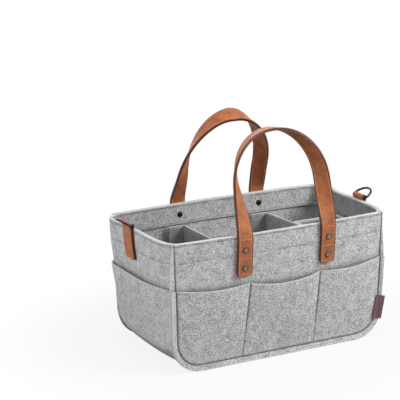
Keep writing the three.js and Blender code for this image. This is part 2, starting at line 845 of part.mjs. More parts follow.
for (const [name, divider] of [['divider_left', leftDivider], ['divider_right', rightDivider]]) {
  addPart(name, uprightGeometry(dividerPlan(divider), dividerTop), feltGrey);
  addTape(`${name}_back`, 1, divider.back - flapLength, divider.back);
  addTape(`${name}_front`, -1, divider.front - flapLength, divider.front);
}

// The box insert: a U-shaped sheet that closes off the front of the right compartment.
const insertLeftAt = (y, z) => {
  const share = (flapY(rightDivider.back, z) - y) / (2 * flapY(rightDivider.back, z));
  return mix(rightDivider.back, rightDivider.front, share) + felt + insertSpacing;
};
const insertRightAt = (z) => {
  const level = Math.max(z, cornerCentreZ);
  const cornerSwell = sideSwell(flapY(halfWidth(level), level), level);
  const lining = 2 * felt + layerGap;
  return halfWidth(level) + cornerSwell - lining - insertSideGap - felt / 2;
};

function insertPlan(z) {
  const frontLeft = insertLeftAt(-flapY(rightDivider.front, z), z);
  const right = insertRightAt(z);
  return [
    [frontLeft + insertFlap, -flapY(frontLeft + insertFlap, z)],
    [frontLeft, -flapY(frontLeft, z)],
    [insertLeftAt(insertBackY, z), insertBackY],
    [right, insertBackY],
    [right, -flapY(right, z)],
    [right - insertFlap, -flapY(right - insertFlap, z)],
  ];
}

const insertFrontLeft = insertLeftAt(-flapY(rightDivider.front, hookLow), hookLow);
const insertFrontRight = insertRightAt(hookLow);
addPart('box_insert', uprightGeometry(insertPlan, dividerTop), feltGrey);
addTape('box_insert_left', -1, insertFrontLeft, insertFrontLeft + insertFlap);
addTape('box_insert_right', -1, insertFrontRight - insertFlap, insertFrontRight);

// The bare tag, sewn flat on the right front seam

function tagGeometry() {
  const turn = THREE.MathUtils.degToRad(tagTilt);
  const centreX = halfWidth(tagCentreHeight) + tagWidth / 2 - tagLap;
  const out = layerGap + felt + layerGap;
  const face = (level) => steps(-tagHeight / 2, tagHeight / 2, 2).map((up) => {
    const across = steps(-tagWidth / 2, tagWidth / 2, 2);
    return across.map((side) => {
      const x = centreX + side * Math.cos(turn) + up * Math.sin(turn);
      const z = tagCentreHeight + up * Math.cos(turn) - side * Math.sin(turn);
      // Inside the seam it lies on the pocket's swelling.
      const lifted = tagLift * Math.max(halfWidth(z) - x, 0);
      return new THREE.Vector3(x, -(faceY(x, z) + level + lifted), z);
    });
  });
  return sheet(face(out), face(out + tagThickness));
}

addPart('seam_tag', tagGeometry(), tagBrown);

export default caddy;
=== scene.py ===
"""Looks of a felt nursery caddy: felt walls and pockets, riveted leather handles, rings and dividers.

Lengths in the classes are millimetres on the frame's own axes: X along the length, Y from the
front (minus) to the back, Z up from the ground. A mesh is scaled to metres when it is made.
"""

import json
import logging
import math
from contextlib import contextmanager
from dataclasses import dataclass, field
from enum import Enum
from typing import Any, Callable, Iterator, Sequence

import bpy
import numpy as np
from mathutils import Matrix, Vector


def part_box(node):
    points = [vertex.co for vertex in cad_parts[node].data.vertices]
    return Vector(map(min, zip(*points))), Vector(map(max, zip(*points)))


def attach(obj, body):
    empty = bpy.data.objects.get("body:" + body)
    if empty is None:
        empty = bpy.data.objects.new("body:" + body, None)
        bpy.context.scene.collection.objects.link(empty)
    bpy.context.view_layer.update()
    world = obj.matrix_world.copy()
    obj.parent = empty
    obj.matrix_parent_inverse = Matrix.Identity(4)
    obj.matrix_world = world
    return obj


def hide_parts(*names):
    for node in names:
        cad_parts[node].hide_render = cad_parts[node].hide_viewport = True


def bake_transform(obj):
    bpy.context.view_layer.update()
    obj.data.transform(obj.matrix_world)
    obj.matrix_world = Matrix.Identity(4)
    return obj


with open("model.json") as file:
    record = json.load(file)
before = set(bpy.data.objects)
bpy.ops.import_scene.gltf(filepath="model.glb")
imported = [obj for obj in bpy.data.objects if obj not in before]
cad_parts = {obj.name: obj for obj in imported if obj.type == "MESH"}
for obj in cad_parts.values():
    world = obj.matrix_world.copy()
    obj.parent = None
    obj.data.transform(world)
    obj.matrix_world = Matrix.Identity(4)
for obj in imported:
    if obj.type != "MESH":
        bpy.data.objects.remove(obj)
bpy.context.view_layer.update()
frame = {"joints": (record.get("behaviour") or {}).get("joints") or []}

MM = 0.001
QUARTER = math.pi / 2
LOG = logging.getLogger("caddy")

Rows = np.ndarray
Colour = tuple[float, float, float]
Piece = bpy.types.Object
Rule = Callable[[Rows], Rows]


# Small sums used by every form


def blend_of(low: Any, high: Any, share: Any) -> Any:
    """Value between low and high at a share."""
    return low + (high - low) * share


def ease(share: Any) -> Any:
    """Share from 0 to 1 with a soft start and end."""
    held = np.clip(share, 0.0, 1.0)
    return held * held * (3.0 - 2.0 * held)


def ridge(distance: Any, width: float) -> Any:
    """Bell curve: 1 at no distance and next to nothing at twice the width."""
    return np.exp(-((distance / width) ** 2))


def crowded(count: int) -> Rows:
    """Places from -1 to 1 that crowd towards both ends."""
    return np.sin(np.linspace(-QUARTER, QUARTER, count))


def unit(vectors: Rows) -> Rows:
    """Vectors scaled to length one along their last axis."""
    return vectors / np.maximum(np.linalg.norm(vectors, axis=-1, keepdims=True), 1e-12)


def travelled(path: Rows) -> Rows:
    """Distance along a path at each of its points."""
    return np.concatenate([[0.0], np.cumsum(np.linalg.norm(np.diff(path, axis=0), axis=1))])


def read_off(places: Any, reach: Rows, values: Rows) -> Rows:
    """Values at distances along a path, from its points' distances and their rows of values."""
    return np.stack([np.interp(places, reach, column) for column in values.T], axis=-1)


def softened(path: Rows) -> Rows:
    """A path with each inner point drawn towards its neighbours."""
    soft = path.copy()
    soft[1:-1] = (path[:-2] + 2 * path[1:-1] + path[2:]) / 4
    return soft


def corner_curve(start: Rows, corner: Rows, stop: Rows, steps: int) -> Rows:
    """Points after the start of a curve that rounds a corner, up to its stop."""
    share = np.linspace(0, 1, steps)[1:, None]
    return (1 - share) ** 2 * start + 2 * share * (1 - share) * corner + share**2 * stop


def end_taper(reach: Rows, radius: float) -> Rows:
    """How much narrower each side of a strip is near its rounded ends."""
    short = np.clip(radius - np.minimum(reach, reach[-1] - reach), 0, radius)
    return radius - np.sqrt(np.maximum(radius**2 - short**2, 0))


def node_corners(node: str) -> tuple[Rows, Rows]:
    """Lowest and highest corner of a solid of the frame, in millimetres."""
    low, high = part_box(node)
    return np.array(low) / MM, np.array(high) / MM


def joint_place(name: str) -> Rows:
    """Place of a joint of the frame, in millimetres."""
    joint = next(joint for joint in frame["joints"] if joint["name"] == name)
    return np.array(joint["pos_m"]) / MM


class Wall(Enum):
    """A wall of the caddy; the value is its direction on its own axis."""

    @property
    def word(self) -> str:
        """The wall's word in names."""
        return self.name.lower()

    @property
    def outward(self) -> Rows:
        """Outward direction of the wall."""
        return np.array([0.0, self.value, 0.0] if isinstance(self, Side) else [self.value, 0.0, 0.0])


class Side(Wall):
    """A long wall; its direction is on Y."""

    FRONT = -1
    BACK = 1


class End(Wall):
    """A short wall; its direction is on X."""

    LEFT = -1
    RIGHT = 1


# Shader graphs


class Signal:
    """A shader socket that takes part in Python arithmetic."""

    def __init__(self, sheet: "NodeSheet", socket: bpy.types.NodeSocket) -> None:
        """Keeps the socket and the sheet that it belongs to."""
        self.sheet = sheet
        self.socket = socket

    def __add__(self, other: Any) -> "Signal":
        """Sum of two signals."""
        return self.sheet.math("ADD", self, other)

    def __radd__(self, other: Any) -> "Signal":
        """Sum with a number on the left."""
        return self.sheet.math("ADD", other, self)

    def __rsub__(self, other: Any) -> "Signal":
        """Difference with a number on the left."""
        return self.sheet.math("SUBTRACT", other, self)

    def __mul__(self, other: Any) -> "Signal":
        """Product of two signals."""
        return self.sheet.math("MULTIPLY", self, other)

    def __abs__(self) -> "Signal":
        """Size of a signal without its sign."""
        return self.sheet.math("ABSOLUTE", self, 0.0)

    def between(self, low: float, high: float) -> "Signal":
        """Rises smoothly from 0 at low to 1 at high."""
        inputs = {"Value": self, "From Min": low, "From Max": high}
        return self.sheet.read("Result", "ShaderNodeMapRange", inputs, interpolation_type="SMOOTHSTEP")


class NodeSheet:
    """The node tree of a material or a world, filled from an empty start."""

    def __init__(self, owner: bpy.types.Material | bpy.types.World) -> None:
        """Empties the owner's tree."""
        owner.use_nodes = True
        self.tree = owner.node_tree
        self.tree.nodes.clear()

    def node(self, kind: str, inputs: dict[Any, Any], **settings: Any) -> bpy.types.Node:
        """Adds a node.

        Args:
            kind: The node's type name.
            inputs: Values or signals for its sockets.
            settings: The node's own settings, which are set first.

        Returns:
            The new node.
        """
        made = self.tree.nodes.new(kind)
        for key, value in settings.items():
            setattr(made, key, value)
        for key, value in inputs.items():
            self.feed(made.inputs[key], value)
        return made

    def feed(self, socket: bpy.types.NodeSocket, value: Any) -> None:
        """Links a signal to a socket, or sets the socket's own value."""
        if isinstance(value, Signal):
            self.tree.links.new(value.socket, socket)
        else:
            socket.default_value = value

    def read(self, output: str | int, kind: str, inputs: dict[Any, Any], **settings: Any) -> Signal:
        """Adds a node as node() does and gives one of its outputs."""
        return Signal(self, self.node(kind, inputs, **settings).outputs[output])

    def math(self, operation: str, left: Any, right: Any) -> Signal:
        """Adds a Math node on two values."""
        return self.read(0, "ShaderNodeMath", {0: left, 1: right}, operation=operation)

    def mix(self, share: Any, low: Any, high: Any) -> Signal:
        """Mixes two colours, each three numbers or a signal: share 0 gives low and 1 gives high."""
        ends = [value if isinstance(value, Signal) else (*value, 1.0) for value in (low, high)]
        return self.read(2, "ShaderNodeMix", {0: share, 6: ends[0], 7: ends[1]}, data_type="RGBA")

    def place(self, stretch: Sequence[float] = (1, 1, 1), turn: Sequence[float] = (0, 0, 0)) -> Signal:
        """Object coordinates, stretched and turned."""
        start = self.read("Object", "ShaderNodeTexCoord", {})
        inputs = {"Vector": start, "Scale": stretch, "Rotation": turn}
        return self.read("Vector", "ShaderNodeMapping", inputs)

    def surface(self) -> tuple[Signal, Signal, Signal]:
        """The piece's own map: the whole map, the share across it and the distance along it."""
        whole = self.read("UV", "ShaderNodeTexCoord", {})
        parts = self.node("ShaderNodeSeparateXYZ", {"Vector": whole}).outputs
        return whole, Signal(self, parts["X"]), Signal(self, parts["Y"])

    def noise(self, vector: Signal, scale: float, detail: float = 2.0, roughness: float = 0.6) -> Signal:
        """Noise with the given grain."""
        inputs = {"Vector": vector, "Scale": scale, "Detail": detail, "Roughness": roughness}
        return self.read(0, "ShaderNodeTexNoise", inputs)

    def cells(self, vector: Signal, scale: float) -> Signal:
        """Distance to the nearest of many scattered points."""
        return self.read("Distance", "ShaderNodeTexVoronoi", {"Vector": vector, "Scale": scale})

    def mark(self, name: str) -> Signal:
        """The value that a piece carries under a name, 0 where it carries none."""
        return self.read("Fac", "ShaderNodeAttribute", {}, attribute_name=name)

    def seen(self) -> Signal:
        """1 for what the camera, a reflection or glass shows, 0 for light that bounces."""
        rays = self.node("ShaderNodeLightPath", {}).outputs
        straight, mirrored, through = (
            Signal(self, rays[f"Is {kind} Ray"]) for kind in ("Camera", "Glossy", "Transmission")
        )
        return self.math("MAXIMUM", self.math("MAXIMUM", straight, mirrored), through)


class MaterialSheet(NodeSheet):
    """The node tree of one material, which starts with its shader and output."""

    def __init__(self, name: str) -> None:
        """Makes the material."""
        self.material = bpy.data.materials.new(name)
        super().__init__(self.material)
        self.shader = self.node("ShaderNodeBsdfPrincipled", {})
        self.output = self.node("ShaderNodeOutputMaterial", {})
        self.lit = Signal(self, self.shader.outputs["BSDF"])
        self.show(self.lit)

    def show(self, shader: Signal) -> None:
        """Makes a shader the material's surface."""
        self.feed(self.output.inputs["Surface"], shader)

    def relief(self, height: Signal, depth: float, strength: float = 0.8) -> Signal:
        """Surface relief from a height, with depth in metres."""
        inputs = {"Height": height, "Distance": depth, "Strength": strength}
        return self.read("Normal", "ShaderNodeBump", inputs)

    def finish(self, **values: Any) -> bpy.types.Material:
        """Sets the shader's sockets.

        Args:
            values: Socket names in lower case with underscores, and a value or a signal for each.

        Returns:
            The finished material.
        """
        for key, value in values.items():
            socket = self.shader.inputs[key.replace("_", " ").title().replace("Ior", "IOR")]
            self.feed(socket, (*value, 1.0) if isinstance(value, tuple) else value)
        return self.material


@dataclass(frozen=True)
class FeltFinish:
    """Pressed wool felt, fuzzy and dull; reads its piece's marks of painted shade and of painted highlight
    along raw edges.
    """

    name: str
    pale: Colour = (0.60, 0.60, 0.598)
    dark: Colour = (0.16, 0.16, 0.162)
    # Painted shade: the near black that seams, stitch rows, pocket mouths and inner walls are drawn towards.
    creased: Colour = (0.07, 0.07, 0.07)
    # Painted highlight: the paler colour along raw edges, where they catch the light from above.
    cut: Colour = (0.56, 0.56, 0.555)
    cloud_grain: float = 85.0
    cloud_share: float = 0.12
    fleck_grain: float = 760.0
    fleck_share: float = 0.52
    hair_grain: float = 900.0
    hair_share: float = 0.18
    hair_stretch: float = 0.30
    fuzz_grain: float = 2200.0
    fuzz_depth: float = 0.0003
    contrast: tuple[float, float] = (0.40, 0.60)
    # How far the painted shade and the painted highlight go.
    crease_share: float = 0.95
    cut_share: float = 0.65

    def build(self) -> bpy.types.Material:
        """Makes the material."""
        sheet = MaterialSheet(self.name)
        plain = sheet.place()
        slanted = sheet.place((1.0, 1.0, self.hair_stretch), (0.3, 0.5, 0.9))
        crossed = sheet.place((self.hair_stretch, 1.0, 1.0), (0.8, 0.2, 0.4))
        clouds = sheet.noise(plain, self.cloud_grain, 3.0)
        flecks = sheet.noise(plain, self.fleck_grain, 3.0)
        hairs = sheet.noise(slanted, self.hair_grain)
        crossing = sheet.noise(crossed, self.hair_grain)
        specks = clouds * self.cloud_share + flecks * self.fleck_share
        pattern = specks + hairs * self.hair_share + crossing * self.hair_share
        mottled = sheet.mix(pattern.between(*self.contrast), self.dark, self.pale)
        # Painted highlight along raw edges.
        highlighted = sheet.mix(sheet.mark("cut") * self.cut_share, mottled, self.cut)
        fuzz = sheet.noise(slanted, self.fuzz_grain)
        return sheet.finish(
            # Painted shade where the piece is marked.
            base_color=sheet.mix(sheet.mark("crease") * self.crease_share, highlighted, self.creased),
            roughness=0.96,
            specular_ior_level=0.10,
            sheen_weight=0.10,
            sheen_roughness=0.5,
            normal=sheet.relief(flecks * 0.5 + hairs * 0.25 + fuzz * 0.25, self.fuzz_depth),
        )


@dataclass(frozen=True)
class LeatherFinish:
    """Smooth tan leather with a fine grain and darker painted edges; reads the piece's own map."""

    name: str
    body: Colour = (0.34, 0.108, 0.036)
    deep: Colour = (0.23, 0.068, 0.022)
    edge: Colour = (0.085, 0.022, 0.010)
    cloud_grain: float = 0.9
    speckle_grain: float = 9.0
    pore_grain: float = 26.0
    fine_grain: float = 41.6
    pore_depth: float = 0.00018
    paint: tuple[float, float] = (0.80, 0.95)

    def build(self) -> bpy.types.Material:
        """Makes the material."""
        sheet = MaterialSheet(self.name)
        whole, across, _ = sheet.surface()
        clouds = sheet.noise(whole, self.cloud_grain, 3.0)
        speckle = sheet.noise(whole, self.speckle_grain, 3.0, 0.7)
        pores = sheet.cells(whole, self.pore_grain)
        fine = sheet.noise(whole, self.fine_grain)
        base = sheet.mix(clouds.between(0.35, 0.7), self.body, self.deep)
        worn = sheet.mix(speckle.between(0.5, 0.8) * 0.25, base, self.deep)
        return sheet.finish(
            base_color=sheet.mix(abs(across).between(*self.paint), worn, self.edge),
            roughness=0.46 + speckle * 0.22,
            specular_ior_level=0.32,
            normal=sheet.relief(pores * 0.6 + fine * 0.4, self.pore_depth),
        )


@dataclass(frozen=True)
class MetalFinish:
    """Plated or painted metal with a few dull smears, and painted shade and dark reflection where its piece
    is marked.
    """

    name: str
    body: Colour
    smear: Colour
    metallic: float
    roughness: float
    smear_grain: float = 260.0
    scratch_grain: float = 1800.0
    scratch_depth: float = 0.00003
    # Painted shade and dark reflection on the rim of a marked cap.
    seated: Colour = (0.012, 0.010, 0.009)

    def build(self) -> bpy.types.Material:
        """Makes the material."""
        sheet = MaterialSheet(self.name)
        smears = sheet.noise(sheet.place(), self.smear_grain, 3.0).between(0.45, 0.75)
        scratches = sheet.noise(sheet.place((1.0, 0.2, 1.0), (0.4, 0.0, 0.7)), self.scratch_grain)
        plate = sheet.mix(smears * 0.6, self.body, self.smear)
        return sheet.finish(
            # Painted dark rim where the piece is marked.
            base_color=sheet.mix(sheet.mark("crease"), plate, self.seated),
            metallic=self.metallic,
            roughness=self.roughness + smears * 0.16,
            normal=sheet.relief(scratches, self.scratch_depth, 0.5),
        )


@dataclass(frozen=True)
class ThreadFinish:
    """Sewing thread with its twist."""

    name: str
    body: Colour
    shade: Colour
    twist_grain: float = 1500.0
    twist_depth: float = 0.0001

    def build(self) -> bpy.types.Material:
        """Makes the material."""
        sheet = MaterialSheet(self.name)
        strands = sheet.noise(sheet.place(turn=(0.6, 0.6, 0.0)), self.twist_grain, 1.0, 0.5)
        return sheet.finish(
            base_color=sheet.mix(strands.between(0.4, 0.6), self.shade, self.body),
            roughness=0.75,
            specular_ior_level=0.3,
            normal=sheet.relief(strands, self.twist_depth),
        )


@dataclass(frozen=True)
class TapeFinish:
    """Hook and loop tape: a close field of small loops."""

    name: str
    body: Colour = (0.36, 0.36, 0.355)
    shade: Colour = (0.17, 0.17, 0.17)
    loop_grain: float = 900.0
    loop_depth: float = 0.0004

    def build(self) -> bpy.types.Material:
        """Makes the material."""
        sheet = MaterialSheet(self.name)
        loops = sheet.cells(sheet.place(), self.loop_grain)
        return sheet.finish(
            base_color=sheet.mix(loops.between(0.2, 0.8), self.body, self.shade),
            roughness=0.9,
            specular_ior_level=0.2,
            normal=sheet.relief(loops, self.loop_depth, 1.0),
        )


@dataclass(frozen=True)
class RibbonFinish:
    """A closely woven ribbon; reads the piece's own map."""

    name: str
    body: Colour = (0.165, 0.088, 0.090)
    shade: Colour = (0.095, 0.050, 0.052)
    warp_turns: float = 90.0
    weft_turns: float = 110.0
    fibre_grain: float = 700.0
    weave_depth: float = 0.00015

    def build(self) -> bpy.types.Material:
        """Makes the material."""
        sheet = MaterialSheet(self.name)
        _, across, along = sheet.surface()
        warp = sheet.math("SINE", across * self.warp_turns, 0.0)
        weft = sheet.math("SINE", along * self.weft_turns, 0.0)
        weave = warp * weft * 0.5 + 0.5
        fibre = sheet.noise(sheet.place(), self.fibre_grain)
        return sheet.finish(
            base_color=sheet.mix(weave * 0.6 + fibre * 0.4, self.shade, self.body),
            roughness=0.7,
            specular_ior_level=0.25,
            normal=sheet.relief(weave, self.weave_depth),
        )


# Felt of the dividers and the insert: the grey felt drawn darker, painted shade for the shade that falls on
# them inside the box.
SHADED_DIVIDER_FELT = FeltFinish("felt_divider", pale=(0.31, 0.31, 0.309), dark=(0.115, 0.115, 0.116))
TAN_THREAD = ThreadFinish("thread_tan", (0.66, 0.38, 0.22), (0.46, 0.22, 0.11))
# Thread of the felt drawn dark grey: painted shade for the shadow in the stitch holes.
SHADED_GREY_THREAD = ThreadFinish("thread_grey", (0.26, 0.26, 0.26), (0.13, 0.13, 0.13))
BLACK_METAL = MetalFinish("metal_black", (0.016, 0.016, 0.018), (0.05, 0.05, 0.052), 0.85, 0.22)
NICKEL_METAL = MetalFinish("metal_nickel", (0.23, 0.21, 0.185), (0.13, 0.118, 0.104), 1.0, 0.17)


class Finish(Enum):
    """The finishes of the caddy, each with the record's slot that it stands for."""

    FELT = ("felt", FeltFinish("felt_grey"))
    DIVIDER = ("divider_felt", SHADED_DIVIDER_FELT)
    LEATHER = ("leather", LeatherFinish("leather_tan"))
    LEATHER_THREAD = ("leather", TAN_THREAD)
    FELT_THREAD = ("felt", SHADED_GREY_THREAD)
    BLACK = ("black_metal", BLACK_METAL)
    NICKEL = ("nickel", NICKEL_METAL)
    TAPE = ("hook_tape", TapeFinish("tape_hook"))
    RIBBON = ("tag", RibbonFinish("ribbon_brown"))

    @property
    def slot(self) -> str:
        """The record's slot."""
        return self.value[0]

    @property
    def recipe(self) -> Any:
        """The finish's own class with its values."""
        return self.value[1]


# Modelling by operators


def deselect() -> None:
    """Clears the selection, so that an operator acts on its own piece only."""
    bpy.ops.object.select_all(action="DESELECT")


def only(piece: Piece) -> None:
    """Selects one piece and makes it active."""
    deselect()
    piece.select_set(True)
    bpy.context.view_layer.objects.active = piece


def just_added(name: str) -> Piece:
    """Names the piece that an operator has just added."""
    piece = bpy.context.object
    piece.name = name
    piece.data.name = name
    return piece


@contextmanager
def edit_mode() -> Iterator[None]:
    """Opens edit mode with all of the active piece selected, and leaves it at the end."""
    bpy.ops.object.mode_set(mode="EDIT")
    bpy.ops.mesh.select_all(action="SELECT")
    yield
    bpy.ops.object.mode_set(mode="OBJECT")


def gathered(items: Any, key: str, width: int) -> Rows:
    """Values under a key of a mesh's points or faces, as rows of a width."""
    values = np.zeros(len(items) * width)
    items.foreach_get(key, values)
    return values.reshape(-1, width)


def modified(piece: Piece, kind: str, **settings: Any) -> None:
    """Adds a modifier and applies it.

    Args:
        piece: The piece to shape.
        kind: The modifier's type.
        settings: The modifier's own settings.
    """
    only(piece)
    modifier = piece.modifiers.new(kind.lower(), kind)
    for key, value in settings.items():
        setattr(modifier, key, value)
    bpy.ops.object.modifier_apply(modifier=modifier.name)


def smoothed(piece: Piece, degrees: float = 40.0) -> None:
    """Shades a piece smooth, apart from edges sharper than an angle."""
    only(piece)
    bpy.ops.object.shade_smooth_by_angle(angle=math.radians(degrees))


def laid_grid(name: str, points: Rows, outward: Rule | None = None, closed: bool = False) -> Piece:
    """A sheet of quads through a grid of points.

    Args:
        name: Its name.
        points: Rows by columns by three, in millimetres.
        outward: Gives a rough outward direction at points, or None to leave the facing alone.
        closed: Joins the last column to the first.

    Returns:
        The new piece.
    """
    rows, columns = points.shape[:2]
    deselect()
    bpy.ops.mesh.primitive_grid_add(x_subdivisions=columns - 1, y_subdivisions=rows - 1, size=2)
    piece = just_added(name)
    piece.data.vertices.foreach_set("co", (points * MM).astype(np.float32).ravel())
    piece.data.update()
    if closed:
        with edit_mode():
            bpy.ops.mesh.remove_doubles(threshold=1e-6)
    if outward is not None:
        faces = piece.data.polygons
        wanted = outward(gathered(faces, "center", 3) / MM)
        if float((gathered(faces, "normal", 3) * wanted * gathered(faces, "area", 1)).sum()) < 0:
            piece.data.flip_normals()
    return piece


def thickened(piece: Piece, thickness: float, offset: float, rounding: float, segments: int = 2) -> None:
    """Gives a sheet its thickness and rounds its edges.

    Args:
        piece: The sheet.
        thickness: In millimetres.
        offset: -1 grows against the normals, 0 both ways, 1 along them.
        rounding: Width of the rounded edge in millimetres.
        segments: Steps of the rounding.
    """
    modified(piece, "SOLIDIFY", thickness=thickness * MM, offset=offset, use_even_offset=False)
    edges = {"limit_method": "ANGLE", "angle_limit": math.radians(55), "use_clamp_overlap": True}
    modified(piece, "BEVEL", width=rounding * MM, segments=segments, **edges)
    smoothed(piece)


def mapped_strip(piece: Piece, across: Rows, along: Rows) -> None:
    """Writes a strip's own map: share across it and distance along it in half widths.

    Args:
        piece: A laid grid, before it gets its thickness.
        across: A value for each column.
        along: A value for each row.
    """
    layer = piece.data.uv_layers[0].data
    for loop in piece.data.loops:
        row, column = divmod(loop.vertex_index, len(across))
        layer[loop.index].uv = (across[column], along[row])


def marked(piece: Piece, **marks: Rule) -> None:
    """Gives each point of a piece values, which its finish reads.

    Args:
        piece: The piece with its final mesh.
        marks: For each mark's name, what gives its values at points in millimetres.
    """
    places = gathered(piece.data.vertices, "co", 3) / MM
    for name, value in marks.items():
        layer = piece.data.attributes.new(name, "FLOAT", "POINT")
        layer.data.foreach_set("value", np.clip(value(places), 0.0, 1.0).astype(np.float32))


@dataclass(frozen=True)
class Cap:
    """A turned cap: radius and height of each ring from its foot up, in millimetres, and its finish."""

    radii: tuple[float, ...]
    heights: tuple[float, ...]
    finish: Finish


RIVET_CAP = Cap(
    (0.5, 4.0, 4.55, 4.7, 4.45, 4.0, 3.2, 2.1, 0.9, 0.15),
    (0, 0, 0.25, 0.7, 1.15, 1.35, 1.65, 1.85, 1.93, 1.95),
    Finish.NICKEL,
)
INNER_DOME = Cap(
    (0.5, 4.2, 4.6, 4.6, 4.2, 3.4, 2.3, 1.1, 0.15),
    (0, 0, 0.3, 0.75, 1.35, 1.95, 2.4, 2.62, 2.68),
    Finish.BLACK,
)


def turned(name: str, cap: Cap, sides: int = 32) -> Piece:
    """A cap on the Z axis, drawn out ring by ring from a disc.

    Args:
        name: Its name.
        cap: Its shape.
        sides: Sides of each ring.

    Returns:
        The closed piece.
    """
    radius, height = cap.radii[0], cap.heights[0]
    deselect()
    start = {"radius": radius * MM, "location": (0, 0, height * MM)}
    bpy.ops.mesh.primitive_circle_add(vertices=sides, fill_type="NGON", **start)
    piece = just_added(name)
    bpy.ops.object.transform_apply(location=True)
    with edit_mode():
        for next_radius, next_height in zip(cap.radii[1:], cap.heights[1:]):
            rise = (next_height - height) * MM
            bpy.ops.mesh.extrude_region_move(TRANSFORM_OT_translate={"value": (0, 0, rise)})
            grow = next_radius / radius
            bpy.ops.transform.resize(value=(grow, grow, 1))
            radius, height = next_radius, next_height
        bpy.ops.mesh.select_all(action="SELECT")
        bpy.ops.mesh.normals_make_consistent(inside=False)
    smoothed(piece)
    return piece


@dataclass(frozen=True)
class Seam:
    """A line of stitches: where each runs and which way the surface faces."""

    path: Rows
    normals: Rows

    @classmethod
    def facing(cls, path: Rows, normal: Rows) -> "Seam":
        """A line of stitches on a surface that faces one way all along."""
        return cls(path, np.tile(normal, (len(path), 1)))


@dataclass(frozen=True)
class Needle:
    """How a row of stitches is sewn, in millimetres."""

    pitch: float = 4.0
    length: float = 3.1
    radius: float = 0.42
    lift: float = 0.10
    sag: float = 0.7

    def sew(self, name: str, seams: Sequence[Seam]) -> Piece:
        """Lays stitches along seams as one piece.

        Args:
            name: Its name.
            seams: The rows to sew.

        Returns:
            The piece with all the stitches.
        """
        deselect()
        bpy.ops.mesh.primitive_uv_sphere_add(segments=6, ring_count=4, radius=1.0)
        piece = just_added(name)
        shape = np.array([vertex.co for vertex in piece.data.vertices])
        faces = [np.array(face.vertices) for face in piece.data.polygons]
        stitches = [stitch for seam in seams for stitch in self._stitches(seam, shape)]
        starts = range(0, len(stitches) * len(shape), len(shape))
        polygons = [(face + start).tolist() for start in starts for face in faces]
        piece.data.clear_geometry()
        piece.data.from_pydata((np.concatenate(stitches) * MM).tolist(), [], polygons)
        piece.data.update()
        smoothed(piece, 80.0)
        return piece

    def _stitches(self, seam: Seam, shape: Rows) -> list[Rows]:
        """Points of each stitch along one seam.

        Args:
            seam: The row to sew.
            shape: Points of a ball of radius 1, which each stitch is drawn from.

        Returns:
            The points of each stitch.
        """
        reach = travelled(seam.path)
        count = max(int(reach[-1] / self.pitch), 1)
        aside, upward, forward = shape[:, 0:1], shape[:, 1:2], shape[:, 2:3]
        stitches = []
        half = self.length / 2
        for place in (np.arange(count) + 0.5) * reach[-1] / count:
            start, stop = (read_off(place + shift, reach, seam.path) for shift in (-half, half))
            length = max(float(np.linalg.norm(stop - start)), 1e-6)
            along = (stop - start) / length
            normal = read_off(place, reach, seam.normals)
            normal = unit(normal - along * float(normal @ along))
            middle = (start + stop) / 2 + normal * self.lift
            bow = upward * self.radius - forward**2 * self.radius * self.sag
            side = aside * self.radius * np.cross(normal, along)
            stitches.append(middle + forward * length / 2 * along + side + bow * normal)
        return stitches


@dataclass
class Workshop:
    """Dresses finished pieces, puts them on their bodies and reports them."""

    made: dict[Finish, bpy.types.Material] = field(default_factory=dict)

    def dress(self, piece: Piece, finish: Finish, nodes: Sequence[str], body: str) -> None:
        """Gives a piece its material, hides the solids that it stands for and reports it.

        Args:
            piece: The piece with its final mesh.
            finish: Its finish.
            nodes: The solids that it stands for.
            body: What it moves with, for the report.
        """
        if finish not in self.made:
            self.made[finish] = finish.recipe.build()
        piece.data.materials.clear()
        piece.data.materials.append(self.made[finish])
        if nodes:
            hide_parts(*nodes)
        LOG.info("%s on %s, %d faces", piece.name, body, len(piece.data.polygons))

    def fit(self, piece: Piece, finish: Finish, body: str, *nodes: str) -> None:
        """Finishes a piece that moves with one body and stands for solids of the frame."""
        self.dress(piece, finish, nodes, body)
        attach(piece, body)

    def bend(self, piece: Piece, finish: Finish, body: str, start: Rows, end: Rows, *nodes: str) -> None:
        """Finishes a piece of a strap between the box and a body, and bakes its place into its mesh; start
        and end are in millimetres.
        """
        self.dress(piece, finish, nodes, f"root to {body}")
        tuple(start * MM)
        tuple(end * MM)
        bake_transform(piece)


# The felt box


@dataclass(frozen=True)
class Ripples:
    """Soft waves in the felt of a long wall, in millimetres and radians."""

    height: float = 0.55
    along: float = 0.041
    up: float = 0.052
    slant_along: float = 0.083
    slant_up: float = 0.031
    slant_share: float = 0.6
    front_phase: float = 0.7
    back_phase: float = 2.3

    def at(self, side: Side, x: Any, z: Any) -> Any:
        """How far the waves push the wall out at a place."""
        phase = self.front_phase if side is Side.FRONT else self.back_phase
        crossing = np.sin(x * self.along + phase) * np.sin(z * self.up + 2 * phase)
        slanting = np.sin(x * self.slant_along - z * self.slant_up + phase)
        return self.height * (crossing + self.slant_share * slanting)


@dataclass(frozen=True)
class StitchRow:
    """A level row of stitches, how far it draws the felt in, and the painted shade along it."""

    height: float
    pull: float
    pull_width: float
    shade: float
    shade_width: float
    reach: tuple[float, ...] = (-2.4, -1.2, 0, 1.2, 2.4)

    @property
    def heights(self) -> Rows:
        """Heights of the mesh rows that the stitches need."""
        return self.height + np.array(self.reach)


